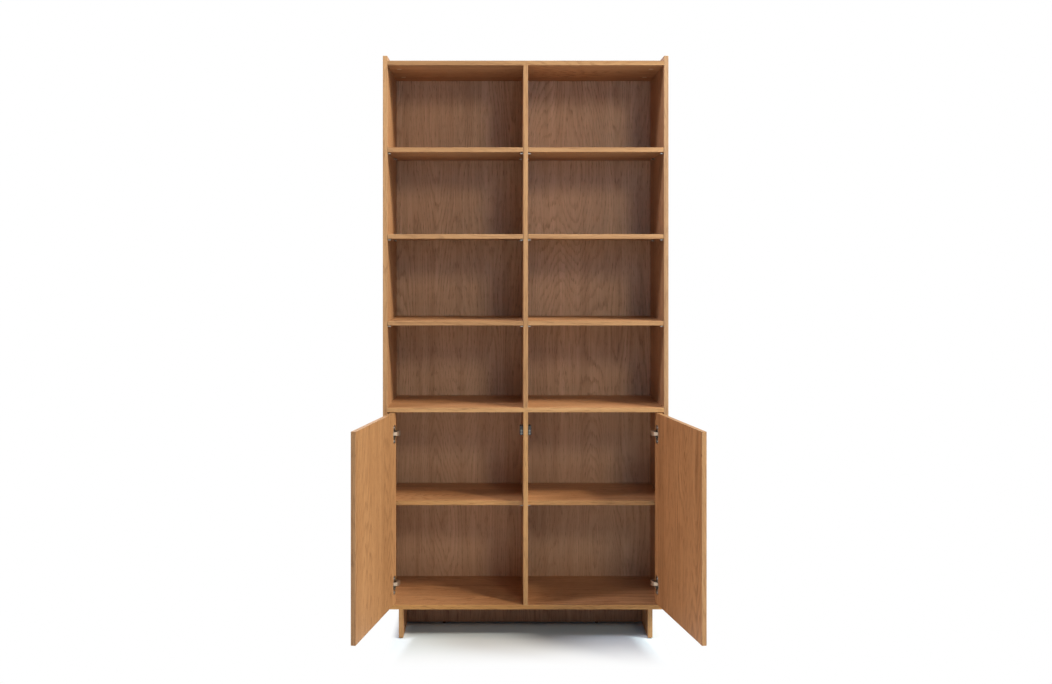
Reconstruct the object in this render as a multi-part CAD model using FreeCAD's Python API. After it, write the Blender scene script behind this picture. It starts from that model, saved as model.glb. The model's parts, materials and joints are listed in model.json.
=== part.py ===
"""Tall bookcase with open bays above a two-door cabinet.

Board construction: two full-height sides carry a top panel, a fixed shelf and a bottom panel, a centre
divider splits every level in two, and thin back panels slide into grooves.  The doors are inset and turn on
single-pin concealed cup hinges.  Millimetres, +Z up, the front faces -Y, the doors stand open.

Everything is drawn in the carcass frame (x = 0 at the middle, y = 0 at the front edges, z = 0 at the floor)
and moved by ORIGIN when it is written.
"""
import FreeCAD
import Part
import math
import os

Vector = FreeCAD.Vector
X_AXIS = Vector(1, 0, 0)
Y_AXIS = Vector(0, 1, 0)
Z_AXIS = Vector(0, 0, 1)
LEFT = -1
RIGHT = 1

# Carcass
OVERALL_WIDTH = 1000.0
OVERALL_HEIGHT = 2040.0
CARCASS_DEPTH = 390.0
BOARD = 16.0
SIDE_RISE = 17.0
BASE_HEIGHT = 102.0
CABINET_HEIGHT = 674.0
EDGE_RADIUS = 1.0

# Back panels, slid into grooves
BACK_THICKNESS = 6.0
BACK_INSET = 10.0
GROOVE_DEPTH = 6.0
GROOVE_PLAY = 0.1
BACK_END_PLAY = 0.5
BACK_SCREW_RADIUS = 1.75
BACK_SCREW_HEAD_RADIUS = 3.5
BACK_SCREW_HEAD = 1.5
BACK_SCREW_LENGTH = 20.0

# Adjustable shelves
SHELF_COUNT = 3
SHELF_END_PLAY = 1.0
SHELF_BACK_PLAY = 2.0
UPPER_SHELF_INSET = 1.0
LOWER_SHELF_INSET = 43.0
LOWER_SHELF_SHARE = 0.5045
PIN_HEAD_RADIUS = 3.2
PIN_HEAD_LENGTH = 10.0
PIN_PEG_RADIUS = 2.5
PIN_PEG_LENGTH = 7.0
PIN_FRONT_INSET = 19.0
PIN_REAR_INSET = 116.0

# Base
LEG_INSET = 56.0
STRETCHER_FRONT = 170.0
STRETCHER_CLEARANCE = 7.0
GLIDE_HEIGHT = 3.0
GLIDE_RADIUS = 7.0
GLIDE_INSET = 12.0
DOME_RADIUS = 6.0
LEFT_DOME_OFFSET = 294.0
RIGHT_DOME_OFFSET = 262.0
NAIL_RADIUS = 1.25
NAIL_LENGTH = 12.0

# Panel fittings
FIT_PLAY = 0.1
CAM_RADIUS = 7.4
CAM_COVER = 3.5
CAM_DISTANCE = 34.0
CAM_FRONT_INSET = 88.0
CAM_REAR_INSET = 94.0
CAP_RADIUS = 8.5
CAP_THICKNESS = 0.8
BOLT_THREAD_RADIUS = 2.5
BOLT_THREAD_LENGTH = 11.0
BOLT_SHANK_RADIUS = 3.5
BOLT_NECK_RADIUS = 2.0
BOLT_HEAD_LENGTH = 4.0
DOWEL_RADIUS = 4.0
DOWEL_LENGTH = 28.0
DOWEL_SHORT_END = 7.0
DOWEL_FRONT_INSET = 40.0
DOWEL_REAR_INSET = 44.0
DOWEL_STAGGER = 24.0
BORE_END_PLAY = 0.5

# Doors
DOOR_THICKNESS = 16.0
DOOR_REVEAL = 2.4
DOOR_FREE_GAP = 2.5
SWING_CLEARANCE = 0.75
OPEN_ANGLE = 100.5

# Concealed hinges
HINGE_TOP_DROP = 77.0
HINGE_BOTTOM_RISE = 70.0
CUP_FROM_EDGE = 22.5
CUP_RADIUS = 17.5
CUP_DEPTH = 12.5
CUP_WALL = 0.8
PIVOT_FROM_EDGE = 15.3
PIVOT_DEPTH = 8.4
PIN_RADIUS = 1.5
RUNNING_PLAY = 0.05
EYE_RADIUS = 2.9
EYE_HALF_WIDTH = 5.5
EAR_PLAY = 0.5
EAR_THICKNESS = 1.5
EAR_RADIUS = 3.6
FLANGE_HEIGHT = 65.0
FLANGE_WIDTH = 24.0
FLANGE_THICKNESS = 1.4
FLANGE_FROM_EDGE = 24.0
CUP_SCREW_SPACING = 48.0
CUP_SCREW_OFFSET = 6.0
SCREW_RADIUS = 1.75
SCREW_HEAD_RADIUS = 3.5
SCREW_HEAD_HEIGHT = 1.6
SCREW_LENGTH = 11.0
ARM_THICKNESS = 2.0
ARM_HALF_WIDTH = 8.5
ARM_BEND_RADIUS = 3.0
ARM_REACH = 41.5
NECK_OUTSET = 22.5
NECK_SINK = 6.4
LIP_OUTSET = 30.0
LIP_SINK = 2.5
CRANK_OUTSET = 34.5
CRANK_RISE = 3.0
ELBOW_START = 11.0
ELBOW_END = 19.0
SEAT_STEP = 5.0
SEAT_LEAD = 1.0
SEAT_REST = 7.0
NECK_CLEARANCE = 1.5
ARM_FLANGE = 1.2
PLATE_SETBACK = 37.0
PLATE_THICKNESS = 2.0
PLATE_HEIGHT = 48.0
PLATE_WIDTH = 16.0
PLATE_SCREW_SPACING = 32.0
PLATE_BLOCK_HEIGHT = 8.5
PLATE_BLOCK_HALF_WIDTH = 5.5
PLATE_BLOCK_LENGTH = 46.0
CLAMP_SCREW_RADIUS = 2.5
CLAMP_HEAD_RADIUS = 4.0

# Catches
CATCH_DROP = 66.0
CATCH_WIDTH = 12.0
CATCH_HEIGHT = 32.0
CATCH_LENGTH = 36.0
CATCH_CORNER = 2.5
CATCH_FOOT = 1.5
CATCH_FOOT_LENGTH = 18.0
CATCH_PLAY = 0.4
MAGNET_RADIUS = 3.6
MAGNET_LENGTH = 12.0
MAGNET_DROP = 5.5
MAGNET_HALF_SPACING = 4.8
STRIKE_RADIUS = 5.0
STRIKE_THICKNESS = 1.0

# Levels and planes that follow from the driving dimensions
HALF_WIDTH = OVERALL_WIDTH / 2
INNER_HALF = HALF_WIDTH - BOARD
HALF_BOARD = BOARD / 2
BACK_FACE = CARCASS_DEPTH - BACK_INSET - BACK_THICKNESS
BOTTOM_TOP = BASE_HEIGHT + BOARD
FIXED_BASE = BOTTOM_TOP + CABINET_HEIGHT
FIXED_TOP = FIXED_BASE + BOARD
TOP_TOP = OVERALL_HEIGHT - SIDE_RISE
TOP_BASE = TOP_TOP - BOARD
BAY_WIDTH = INNER_HALF - HALF_BOARD
BAY_HEIGHT = (TOP_BASE - FIXED_TOP - SHELF_COUNT * BOARD) / (SHELF_COUNT + 1)
BACK_JOINT = (FIXED_BASE + FIXED_TOP) / 2
CAM_BORE_RADIUS = CAM_RADIUS + FIT_PLAY
CAM_BORE_DEPTH = BOARD - CAM_COVER
PANEL_LEVELS = (BASE_HEIGHT, FIXED_BASE, TOP_BASE)
PIVOT_FROM_FRONT = DOOR_THICKNESS - PIVOT_DEPTH
DOOR_SIDE_GAP = math.hypot(PIVOT_FROM_EDGE, PIVOT_FROM_FRONT) - PIVOT_FROM_EDGE + SWING_CLEARANCE
DOOR_WIDTH = BAY_WIDTH - DOOR_SIDE_GAP - DOOR_FREE_GAP
DOOR_BASE = BOTTOM_TOP + DOOR_REVEAL
DOOR_TOP = FIXED_BASE - DOOR_REVEAL
DOOR_EDGE = -INNER_HALF + DOOR_SIDE_GAP
PIVOT_X = DOOR_EDGE + PIVOT_FROM_EDGE
HINGE_HEIGHTS = (BOTTOM_TOP + HINGE_BOTTOM_RISE, FIXED_BASE - HINGE_TOP_DROP)
PLATE_Y = DOOR_THICKNESS + PLATE_SETBACK
CATCH_Z = FIXED_BASE - CATCH_DROP
CATCH_Y = DOOR_THICKNESS + CATCH_PLAY
CATCH_X = -HALF_BOARD - CATCH_WIDTH / 2
MAGNET_Z = CATCH_Z - MAGNET_DROP - MAGNET_HALF_SPACING


def open_corner(angle, depth):
    """Returns where the free edge of a left door stands, at a depth from its front face, opened by angle."""
    turn = math.radians(angle)
    along = DOOR_WIDTH - PIVOT_FROM_EDGE
    across = depth - PIVOT_FROM_FRONT
    x = PIVOT_X + along * math.cos(turn) + across * math.sin(turn)
    y = PIVOT_FROM_FRONT - along * math.sin(turn) + across * math.cos(turn)
    return x, y


def origin():
    """Returns the point under the middle of the whole outline, with both doors open."""
    front = open_corner(OPEN_ANGLE, DOOR_THICKNESS)[1]
    return Vector(0, (front + CARCASS_DEPTH) / 2, 0)


ORIGIN = origin()


# Shapes and cuts used by every sub-part

def block(x0, x1, y0, y1, z0, z1):
    """Returns a box between two corners."""
    return Part.makeBox(x1 - x0, y1 - y0, z1 - z0, Vector(x0, y0, z0))


def rod(start, axis, length, radius):
    """Returns a cylinder that starts at a point and runs along an axis."""
    return Part.makeCylinder(radius, length, start, axis)


def rounded(shape, radius, chosen):
    """Rounds the edges of a shape that the function chosen picks."""
    edges = [edge for edge in shape.Edges if chosen(edge)]
    return shape.makeFillet(radius, edges)


def in_plane(edge, axis, place):
    """Tells whether a whole edge lies in the plane at place along an axis, 0 for x, 1 for y, 2 for z."""
    return all(abs(vertex.Point[axis] - place) < 0.001 for vertex in edge.Vertexes)


def along_axis(edge, axis):
    """Tells whether a straight edge runs along an axis."""
    start = edge.Vertexes[0].Point
    end = edge.Vertexes[-1].Point
    others = [index for index in range(3) if index != axis]
    return all(abs(start[index] - end[index]) < 0.001 for index in others)


def front_edges(shape, axis):
    """Rounds the long edges of a board's front, which run along an axis."""
    front = shape.BoundBox.YMin
    return rounded(shape, EDGE_RADIUS, lambda edge: in_plane(edge, 1, front) and along_axis(edge, axis))


def mirrored(shape, side):
    """Returns a left-hand shape as it is, or mirrored for the right side."""
    if side == LEFT:
        return shape
    return shape.mirror(Vector(0, 0, 0), X_AXIS)


def both_sides(shapes):
    """Returns left-hand shapes with their mirror images."""
    return [mirrored(shape, side) for side in (LEFT, RIGHT) for shape in shapes]


def cut(shape, tools):
    """Cuts a list of tools out of a shape, if there are any."""
    if not tools:
        return shape
    return shape.cut(Part.makeCompound(tools))


def write(name, shapes):
    """Moves solids to the part's own origin and writes them as one sub-part."""
    solids = [solid for shape in shapes for solid in shape.Solids]
    result = solids[0] if len(solids) == 1 else Part.makeCompound(solids)
    result = result.copy()
    result.translate(ORIGIN * -1)
    result.exportStep(os.path.join("parts", name + ".step"))


# Places of the panel fittings, shared by the bores and by what sits in them

def cam_depths():
    """Returns how far behind the front the cam fittings sit."""
    return (CAM_FRONT_INSET, BACK_FACE - CAM_REAR_INSET)


def dowel_depths(shift):
    """Returns how far behind the front the dowels sit, moved inwards by shift."""
    return (DOWEL_FRONT_INSET + shift, BACK_FACE - DOWEL_REAR_INSET - shift)


def cam_places():
    """Returns the centre of each left cam in a level panel, on the panel's underside."""
    x = -INNER_HALF + CAM_DISTANCE
    return [Vector(x, y, level) for level in PANEL_LEVELS for y in cam_depths()]


def leg_cam_places():
    """Returns the centre of each cam in the left leg panel, on the leg's inner face."""
    x = -HALF_WIDTH + LEG_INSET + BOARD
    z = BASE_HEIGHT - CAM_DISTANCE
    return [Vector(x, y, z) for y in cam_depths()]


def cam_bolt(place, axis):
    """Returns a bolt screwed in at place, pointing along an axis to its cam."""
    thread = rod(place - axis * BOLT_THREAD_LENGTH, axis, BOLT_THREAD_LENGTH, BOLT_THREAD_RADIUS)
    shank_length = CAM_DISTANCE - CAM_RADIUS - BOLT_HEAD_LENGTH / 2
    neck_length = CAM_DISTANCE - shank_length - BOLT_HEAD_LENGTH / 2
    shank = rod(place, axis, shank_length, BOLT_SHANK_RADIUS)
    neck = rod(place + axis * shank_length, axis, neck_length, BOLT_NECK_RADIUS)
    head_place = place + axis * (shank_length + neck_length)
    head = rod(head_place, axis, BOLT_HEAD_LENGTH, BOLT_SHANK_RADIUS)
    return thread.fuse([shank, neck, head]).removeSplitter()


def cam_bolt_bores(place, axis):
    """Returns the screw hole for a cam bolt and the hole it crosses the panel in."""
    screw_depth = BOLT_THREAD_LENGTH + BORE_END_PLAY
    screw_hole = rod(place - axis * screw_depth, axis, screw_depth, BOLT_THREAD_RADIUS + FIT_PLAY)
    cross_hole = rod(place, axis, CAM_DISTANCE, DOWEL_RADIUS + FIT_PLAY)
    return screw_hole, cross_hole


def cam_lock(place, axis, bolt_axis):
    """Returns a cam that fills its bore, with a pocket for the bolt's head."""
    body = rod(place, axis, CAM_BORE_DEPTH, CAM_RADIUS)
    middle = place + axis * HALF_BOARD
    reach = CAM_RADIUS + BOLT_HEAD_LENGTH
    pocket = rod(middle - bolt_axis * CAM_RADIUS, bolt_axis, reach, DOWEL_RADIUS)
    slot_half = CAM_RADIUS / 2
    slot = Part.makeBox(slot_half * 2, 1.2, 1.6, Vector(-slot_half, -0.6, 0))
    slot.Placement = FreeCAD.Placement(place, FreeCAD.Rotation(Z_AXIS, axis))
    return body.cut(pocket).cut(slot)


def cam_bore(place, axis):
    """Returns the blind bore for a cam."""
    return rod(place, axis, CAM_BORE_DEPTH, CAM_BORE_RADIUS)


def bolt_places():
    """Returns where the left bolts leave the side panel."""
    return [Vector(-INNER_HALF, place.y, place.z + HALF_BOARD) for place in cam_places()]


def leg_bolt_places():
    """Returns where the left bolts leave the underside of the bottom panel."""
    x = -HALF_WIDTH + LEG_INSET + HALF_BOARD
    return [Vector(x, y, BASE_HEIGHT) for y in cam_depths()]


def side_dowel_places():
    """Returns where the left dowels cross from the side panel into the level panels."""
    return [
        Vector(-INNER_HALF, y, level + HALF_BOARD)
        for level in PANEL_LEVELS
        for y in dowel_depths(0)
    ]


def divider_dowel_places():
    """Returns the joint plane and the direction into the divider of each divider dowel."""
    joints = (
        (TOP_BASE, Z_AXIS * -1, 0),
        (FIXED_TOP, Z_AXIS, 0),
        (FIXED_BASE, Z_AXIS * -1, DOWEL_STAGGER),
        (BOTTOM_TOP, Z_AXIS, 0),
    )
    return [(Vector(0, y, z), axis) for z, axis, shift in joints for y in dowel_depths(shift)]


def stretcher_dowel_places():
    """Returns where the left dowels cross from the leg panel into the stretcher."""
    x = -HALF_WIDTH + LEG_INSET + BOARD
    y = STRETCHER_FRONT + HALF_BOARD
    rise = (BASE_HEIGHT - STRETCHER_CLEARANCE) / 4
    return [Vector(x, y, STRETCHER_CLEARANCE + rise * step) for step in (1, 3)]


def dowel(place, axis):
    """Returns a dowel whose short end lies before the joint and whose long end points along an axis."""
    return rod(place - axis * DOWEL_SHORT_END, axis, DOWEL_LENGTH, DOWEL_RADIUS)


def dowel_bore(place, axis):
    """Returns the hole for a dowel, a little longer at both ends."""
    start = place - axis * (DOWEL_SHORT_END + BORE_END_PLAY)
    return rod(start, axis, DOWEL_LENGTH + 2 * BORE_END_PLAY, DOWEL_RADIUS + FIT_PLAY)


# Shelf pins

def shelf_levels():
    """Returns the undersides of the adjustable shelves in one open column."""
    return [FIXED_TOP + BAY_HEIGHT * step + BOARD * (step - 1) for step in range(1, SHELF_COUNT + 1)]


def lower_shelf_level():
    """Returns the underside of a cabinet shelf."""
    return BOTTOM_TOP + CABINET_HEIGHT * LOWER_SHELF_SHARE


def pin_places(underside, inset):
    """Returns the wall point and direction of the four pins under one left shelf."""
    z = underside - PIN_HEAD_RADIUS
    depths = (inset + PIN_FRONT_INSET, BACK_FACE - PIN_REAR_INSET)
    walls = ((-INNER_HALF, X_AXIS), (-HALF_BOARD, X_AXIS * -1))
    return [(Vector(x, y, z), axis) for x, axis in walls for y in depths]


def upper_pin_places():
    """Returns the pins of the left open column."""
    return [spot for level in shelf_levels() for spot in pin_places(level, UPPER_SHELF_INSET)]


def lower_pin_places():
    """Returns the pins of the left half of the cabinet."""
    return pin_places(lower_shelf_level(), LOWER_SHELF_INSET)


def shelf_pin(place, axis):
    """Returns a turned pin: a peg in the wall and a thicker head that the shelf rests on."""
    head = rod(place, axis, PIN_HEAD_LENGTH, PIN_HEAD_RADIUS)
    head = rounded(head, PIN_HEAD_RADIUS / 8, lambda edge: len(edge.Vertexes) == 1)
    peg = rod(place - axis * PIN_PEG_LENGTH, axis, PIN_PEG_LENGTH, PIN_PEG_RADIUS)
    return head.fuse(peg)


def pin_bore(place, axis, depth):
    """Returns the hole for a pin's peg."""
    return rod(place - axis * depth, axis, depth, PIN_PEG_RADIUS + FIT_PLAY)


def pin_bores(places, walls):
    """Returns the holes of those pins that stand in the side panel, or in the divider."""
    depth = PIN_PEG_LENGTH + BORE_END_PLAY
    return [pin_bore(place, axis, depth) for place, axis in places if (axis.x > 0) == (walls == "side")]


# Boards

def side_groove():
    """Returns the groove of the left side for the back panels."""
    x0 = -INNER_HALF - GROOVE_DEPTH
    y0 = BACK_FACE - GROOVE_PLAY
    y1 = BACK_FACE + BACK_THICKNESS + GROOVE_PLAY
    return block(x0, -INNER_HALF, y0, y1, BOTTOM_TOP - GROOVE_DEPTH, TOP_BASE + GROOVE_DEPTH)


def left_side_panel():
    """Returns the left side with all its bores and its groove."""
    panel = block(-HALF_WIDTH, -INNER_HALF, 0, CARCASS_DEPTH, BASE_HEIGHT, OVERALL_HEIGHT)
    panel = front_edges(panel, 2)
    top = OVERALL_HEIGHT
    panel = rounded(panel, EDGE_RADIUS, lambda edge: in_plane(edge, 2, top) and along_axis(edge, 1))
    tools = [side_groove()]
    tools += [cam_bolt_bores(place, X_AXIS)[0] for place in bolt_places()]
    tools += [dowel_bore(place, X_AXIS) for place in side_dowel_places()]
    tools += pin_bores(upper_pin_places() + lower_pin_places(), "side")
    tools += [hole for height in HINGE_HEIGHTS for hole in plate_screw_holes(height)]
    return cut(panel, tools)


def level_panel(base):
    """Returns a plain board between the sides, with the bores of its own fittings."""
    depth = BACK_FACE if base == FIXED_BASE else CARCASS_DEPTH
    panel = block(-INNER_HALF, INNER_HALF, 0, depth, base, base + BOARD)
    panel = front_edges(panel, 0)
    tools = []
    for place in cam_places():
        if place.z == base:
            bolt = Vector(-INNER_HALF, place.y, base + HALF_BOARD)
            tools += [cam_bore(place, Z_AXIS), cam_bolt_bores(bolt, X_AXIS)[1]]
    for place in side_dowel_places():
        if place.z == base + HALF_BOARD:
            tools.append(dowel_bore(place, X_AXIS))
    tools = both_sides(tools)
    for place, axis in divider_dowel_places():
        if place.z in (base, base + BOARD):
            tools.append(dowel_bore(place, axis))
    return cut(panel, tools)


def back_groove(z0, z1):
    """Returns the groove of a level panel for a back panel."""
    y0 = BACK_FACE - GROOVE_PLAY
    y1 = BACK_FACE + BACK_THICKNESS + GROOVE_PLAY
    return block(-INNER_HALF, INNER_HALF, y0, y1, z0, z1)


def top_panel():
    """Returns the top panel."""
    return level_panel(TOP_BASE).cut(back_groove(TOP_BASE, TOP_BASE + GROOVE_DEPTH))


def fixed_shelf():
    """Returns the fixed shelf between the open bays and the cabinet."""
    return cut(level_panel(FIXED_BASE), back_screw_holes())


def bottom_panel():
    """Returns the bottom panel, which the leg panels and the stretcher hang from."""
    panel = level_panel(BASE_HEIGHT).cut(back_groove(BOTTOM_TOP - GROOVE_DEPTH, BOTTOM_TOP))
    leg_holes = [cam_bolt_bores(place, Z_AXIS * -1)[0] for place in leg_bolt_places()]
    stretcher_holes = [cam_bolt_bores(place, Z_AXIS * -1)[0] for place in stretcher_bolt_places()]
    return cut(panel, both_sides(leg_holes + stretcher_holes))


def divider(base, top, pins):
    """Returns a centre divider between two level panels."""
    panel = block(-HALF_BOARD, HALF_BOARD, 0, BACK_FACE, base, top)
    panel = front_edges(panel, 2)
    tools = [
        dowel_bore(place, axis)
        for place, axis in divider_dowel_places()
        if place.z in (base, top)
    ]
    tools += divider_pin_bores(pins)
    tools += back_screw_holes()
    return cut(panel, tools)


def divider_pin_bores(pins):
    """Returns one through hole for each pair of pins that share a height in the divider."""
    return [
        rod(Vector(-HALF_BOARD, place.y, place.z), X_AXIS, BOARD, PIN_PEG_RADIUS + FIT_PLAY)
        for place, axis in pins
        if axis.x < 0
    ]


def upper_divider():
    """Returns the divider of the open bays."""
    return divider(FIXED_TOP, TOP_BASE, upper_pin_places())


def lower_divider():
    """Returns the divider of the cabinet, which carries the catches."""
    panel = divider(BOTTOM_TOP, FIXED_BASE, lower_pin_places())
    return cut(panel, catch_screw_holes())


def back_panel(z0, z1):
    """Returns a back panel between two heights, with its edges in the side grooves."""
    half = INNER_HALF + GROOVE_DEPTH - BACK_END_PLAY
    panel = block(-half, half, BACK_FACE, BACK_FACE + BACK_THICKNESS, z0, z1)
    return cut(panel, back_screw_holes())


def upper_back_panel():
    """Returns the back of the open bays."""
    return back_panel(BACK_JOINT, TOP_BASE + GROOVE_DEPTH - BACK_END_PLAY)


def lower_back_panel():
    """Returns the back of the cabinet."""
    return back_panel(BOTTOM_TOP - GROOVE_DEPTH + BACK_END_PLAY, BACK_JOINT)


def adjustable_shelf(underside, inset):
    """Returns a loose shelf of the left column that rests on its pins."""
    x0 = -INNER_HALF + SHELF_END_PLAY
    x1 = -HALF_BOARD - SHELF_END_PLAY
    shelf = block(x0, x1, inset, BACK_FACE - SHELF_BACK_PLAY, underside, underside + BOARD)
    return front_edges(shelf, 0)


# Back panel screws

def back_screw_places():
    """Returns where the back panels are screwed, on their rear face."""
    rear = BACK_FACE + BACK_THICKNESS
    spread = BAY_WIDTH / 2
    along_shelf = [
        Vector(x, rear, BACK_JOINT + drop)
        for x in (-INNER_HALF + spread, INNER_HALF - spread)
        for drop in (-HALF_BOARD / 2, HALF_BOARD / 2)
    ]
    upper_third = (TOP_BASE - FIXED_TOP) / 3
    lower_half = (FIXED_BASE - BOTTOM_TOP) / 2
    heights = (BOTTOM_TOP + lower_half, FIXED_TOP + upper_third, TOP_BASE - upper_third)
    return along_shelf + [Vector(0, rear, height) for height in heights]


def back_screw(place):
    """Returns a flat-headed screw driven forward from the rear."""
    shank = rod(place, Y_AXIS * -1, BACK_SCREW_LENGTH, BACK_SCREW_RADIUS)
    head = Part.makeCone(BACK_SCREW_HEAD_RADIUS, BACK_SCREW_RADIUS, BACK_SCREW_HEAD, place, Y_AXIS * -1)
    return shank.fuse(head)


def back_screw_holes():
    """Returns the countersunk holes for the back panel screws."""
    holes = []
    for place in back_screw_places():
        length = BACK_SCREW_LENGTH + BORE_END_PLAY
        shank = rod(place, Y_AXIS * -1, length, BACK_SCREW_RADIUS + FIT_PLAY)
        wide = BACK_SCREW_HEAD_RADIUS + FIT_PLAY
        narrow = BACK_SCREW_RADIUS + FIT_PLAY
        holes.append(shank.fuse(Part.makeCone(wide, narrow, BACK_SCREW_HEAD, place, Y_AXIS * -1)))
    return holes


# Base

def left_leg_panel():
    """Returns the left leg panel, standing on its glides."""
    x0 = -HALF_WIDTH + LEG_INSET
    leg = block(x0, x0 + BOARD, 0, CARCASS_DEPTH, GLIDE_HEIGHT, BASE_HEIGHT)
    leg = front_edges(leg, 2)
    base = GLIDE_HEIGHT
    leg = rounded(leg, EDGE_RADIUS, lambda edge: in_plane(edge, 2, base) and along_axis(edge, 1))
    tools = [dowel_bore(place, X_AXIS) for place in stretcher_dowel_places()]
    tools += [nail_hole(place) for place in leg_glide_places()]
    for place, bolt in zip(leg_cam_places(), leg_bolt_places()):
        tools += [cam_bore(place, X_AXIS * -1), cam_bolt_bores(bolt, Z_AXIS * -1)[1]]
    return cut(leg, tools)


def stretcher_bolt_places():
    """Returns where the left stretcher bolt leaves the underside of the bottom panel."""
    return [Vector(-BAY_WIDTH / 2, STRETCHER_FRONT + HALF_BOARD, BASE_HEIGHT)]


def stretcher_cam_places():
    """Returns the centre of the left stretcher cam, on the stretcher's rear face."""
    rear = STRETCHER_FRONT + BOARD
    return [Vector(place.x, rear, BASE_HEIGHT - CAM_DISTANCE) for place in stretcher_bolt_places()]


def base_stretcher():
    """Returns the board that ties the leg panels together under the middle of the carcass."""
    half = HALF_WIDTH - LEG_INSET - BOARD
    rear = STRETCHER_FRONT + BOARD
    stretcher = block(-half, half, STRETCHER_FRONT, rear, STRETCHER_CLEARANCE, BASE_HEIGHT)
    tools = [dowel_bore(place, X_AXIS) for place in stretcher_dowel_places()]
    for place, bolt in zip(stretcher_cam_places(), stretcher_bolt_places()):
        tools += [cam_bore(place, Y_AXIS * -1), cam_bolt_bores(bolt, Z_AXIS * -1)[1]]
    tools = both_sides(tools)
    tools += [nail_hole(place) for place in dome_glide_places()]
    return cut(stretcher, tools)


def leg_glide_places():
    """Returns the points on the left leg's lower edge that carry a glide."""
    x = -HALF_WIDTH + LEG_INSET + HALF_BOARD
    return [Vector(x, y, GLIDE_HEIGHT) for y in (GLIDE_INSET, CARCASS_DEPTH - GLIDE_INSET)]


def dome_glide_places():
    """Returns the points on the stretcher's lower edge that carry a dome glide."""
    y = STRETCHER_FRONT + HALF_BOARD
    return [Vector(x, y, STRETCHER_CLEARANCE) for x in (-LEFT_DOME_OFFSET, RIGHT_DOME_OFFSET)]


def nail_hole(place):
    """Returns the hole for a glide's nail."""
    return rod(place, Z_AXIS, NAIL_LENGTH + BORE_END_PLAY, NAIL_RADIUS + FIT_PLAY)


def leg_glide(place):
    """Returns a nailed round glide with a softened rim."""
    disc = rod(place - Z_AXIS * GLIDE_HEIGHT, Z_AXIS, GLIDE_HEIGHT, GLIDE_RADIUS)
    rim = GLIDE_HEIGHT / 2
    disc = rounded(disc, rim, lambda edge: len(edge.Vertexes) == 1 and in_plane(edge, 2, 0))
    return disc.fuse(rod(place, Z_AXIS, NAIL_LENGTH, NAIL_RADIUS))


def dome_glide(place):
    """Returns a nailed dome glide that fills the gap between the stretcher and the floor."""
    disc = rod(place - Z_AXIS * STRETCHER_CLEARANCE, Z_AXIS, STRETCHER_CLEARANCE, DOME_RADIUS)
    rim = DOME_RADIUS * 0.7
    dome = rounded(disc, rim, lambda edge: len(edge.Vertexes) == 1 and in_plane(edge, 2, 0))
    return dome.fuse(rod(place, Z_AXIS, NAIL_LENGTH, NAIL_RADIUS))


# Doors

def swung(shape, side):
    """Turns a left-hand piece from its closed place to the open place of a door."""
    turned = shape.copy()
    turned.rotate(Vector(PIVOT_X, PIVOT_FROM_FRONT, 0), Z_AXIS, -OPEN_ANGLE)
    return mirrored(turned, side)


def door_panel():
    """Returns a left door in its closed place."""
    panel = block(DOOR_EDGE, DOOR_EDGE + DOOR_WIDTH, 0, DOOR_THICKNESS, DOOR_BASE, DOOR_TOP)
    faces = (0, DOOR_THICKNESS)
    panel = rounded(panel, EDGE_RADIUS, lambda edge: any(in_plane(edge, 1, face) for face in faces))
    tools = [strike_recess()]
    for height in HINGE_HEIGHTS:
        tools.append(rod(cup_mouth(height), Y_AXIS * -1, CUP_DEPTH, CUP_RADIUS + FIT_PLAY))
        tools += [screw_hole(place, Y_AXIS * -1) for place in cup_screw_places(height)]
    return cut(panel, tools)


def strike_place():
    """Returns the centre of a door's strike plate on the door's inner face, straight before the magnet."""
    return Vector(CATCH_X, DOOR_THICKNESS, MAGNET_Z)


def strike_recess():
    """Returns the shallow bore for a strike plate."""
    return rod(strike_place(), Y_AXIS * -1, STRIKE_THICKNESS, STRIKE_RADIUS + FIT_PLAY)


def strike_plate():
    """Returns the steel disc that the magnet pulls."""
    return rod(strike_place(), Y_AXIS * -1, STRIKE_THICKNESS, STRIKE_RADIUS)


# Screws used by the hinges and catches

def screw_hole(place, axis):
    """Returns the pilot hole of a screw driven along an axis from the surface it clamps on."""
    return rod(place, axis, SCREW_LENGTH + BORE_END_PLAY, SCREW_RADIUS + FIT_PLAY)


def wood_screw(place, axis, clamped):
    """Returns a pan-head screw with a cross slot, which clamps a plate of a thickness."""
    seat = place - axis * clamped
    shank = rod(seat, axis, SCREW_LENGTH + clamped, SCREW_RADIUS)
    head = rod(seat - axis * SCREW_HEAD_HEIGHT, axis, SCREW_HEAD_HEIGHT, SCREW_HEAD_RADIUS)
    top = seat - axis * SCREW_HEAD_HEIGHT
    head = rounded(head, SCREW_HEAD_HEIGHT / 2, lambda edge: is_rim_at(edge, top, SCREW_HEAD_RADIUS))
    return head.fuse(shank).cut(cross_slot(top, axis))


def is_rim_at(edge, centre, radius):
    """Tells whether an edge is a full circle of a radius about a centre."""
    if len(edge.Vertexes) != 1:
        return False
    return edge.CenterOfMass.distanceToPoint(centre) < 0.01 and abs(edge.Curve.Radius - radius) < 0.01


def cross_slot(place, axis):
    """Returns the cross that a driver fits, cut into a screw head."""
    length = SCREW_HEAD_RADIUS * 1.1
    width = SCREW_HEAD_RADIUS / 5
    depth = SCREW_HEAD_HEIGHT / 2
    bar = Part.makeBox(length, width, depth, Vector(-length / 2, -width / 2, 0))
    cross_bar = Part.makeBox(width, length, depth, Vector(-width / 2, -length / 2, 0))
    cross = bar.fuse(cross_bar)
    cross.Placement = FreeCAD.Placement(place, FreeCAD.Rotation(Z_AXIS, axis))
    return cross


# Concealed hinges, drawn for the left door in its closed place

def cup_mouth(height):
    """Returns the centre of a hinge cup's mouth on the door's inner face."""
    return Vector(DOOR_EDGE + CUP_FROM_EDGE, DOOR_THICKNESS, height)


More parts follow.
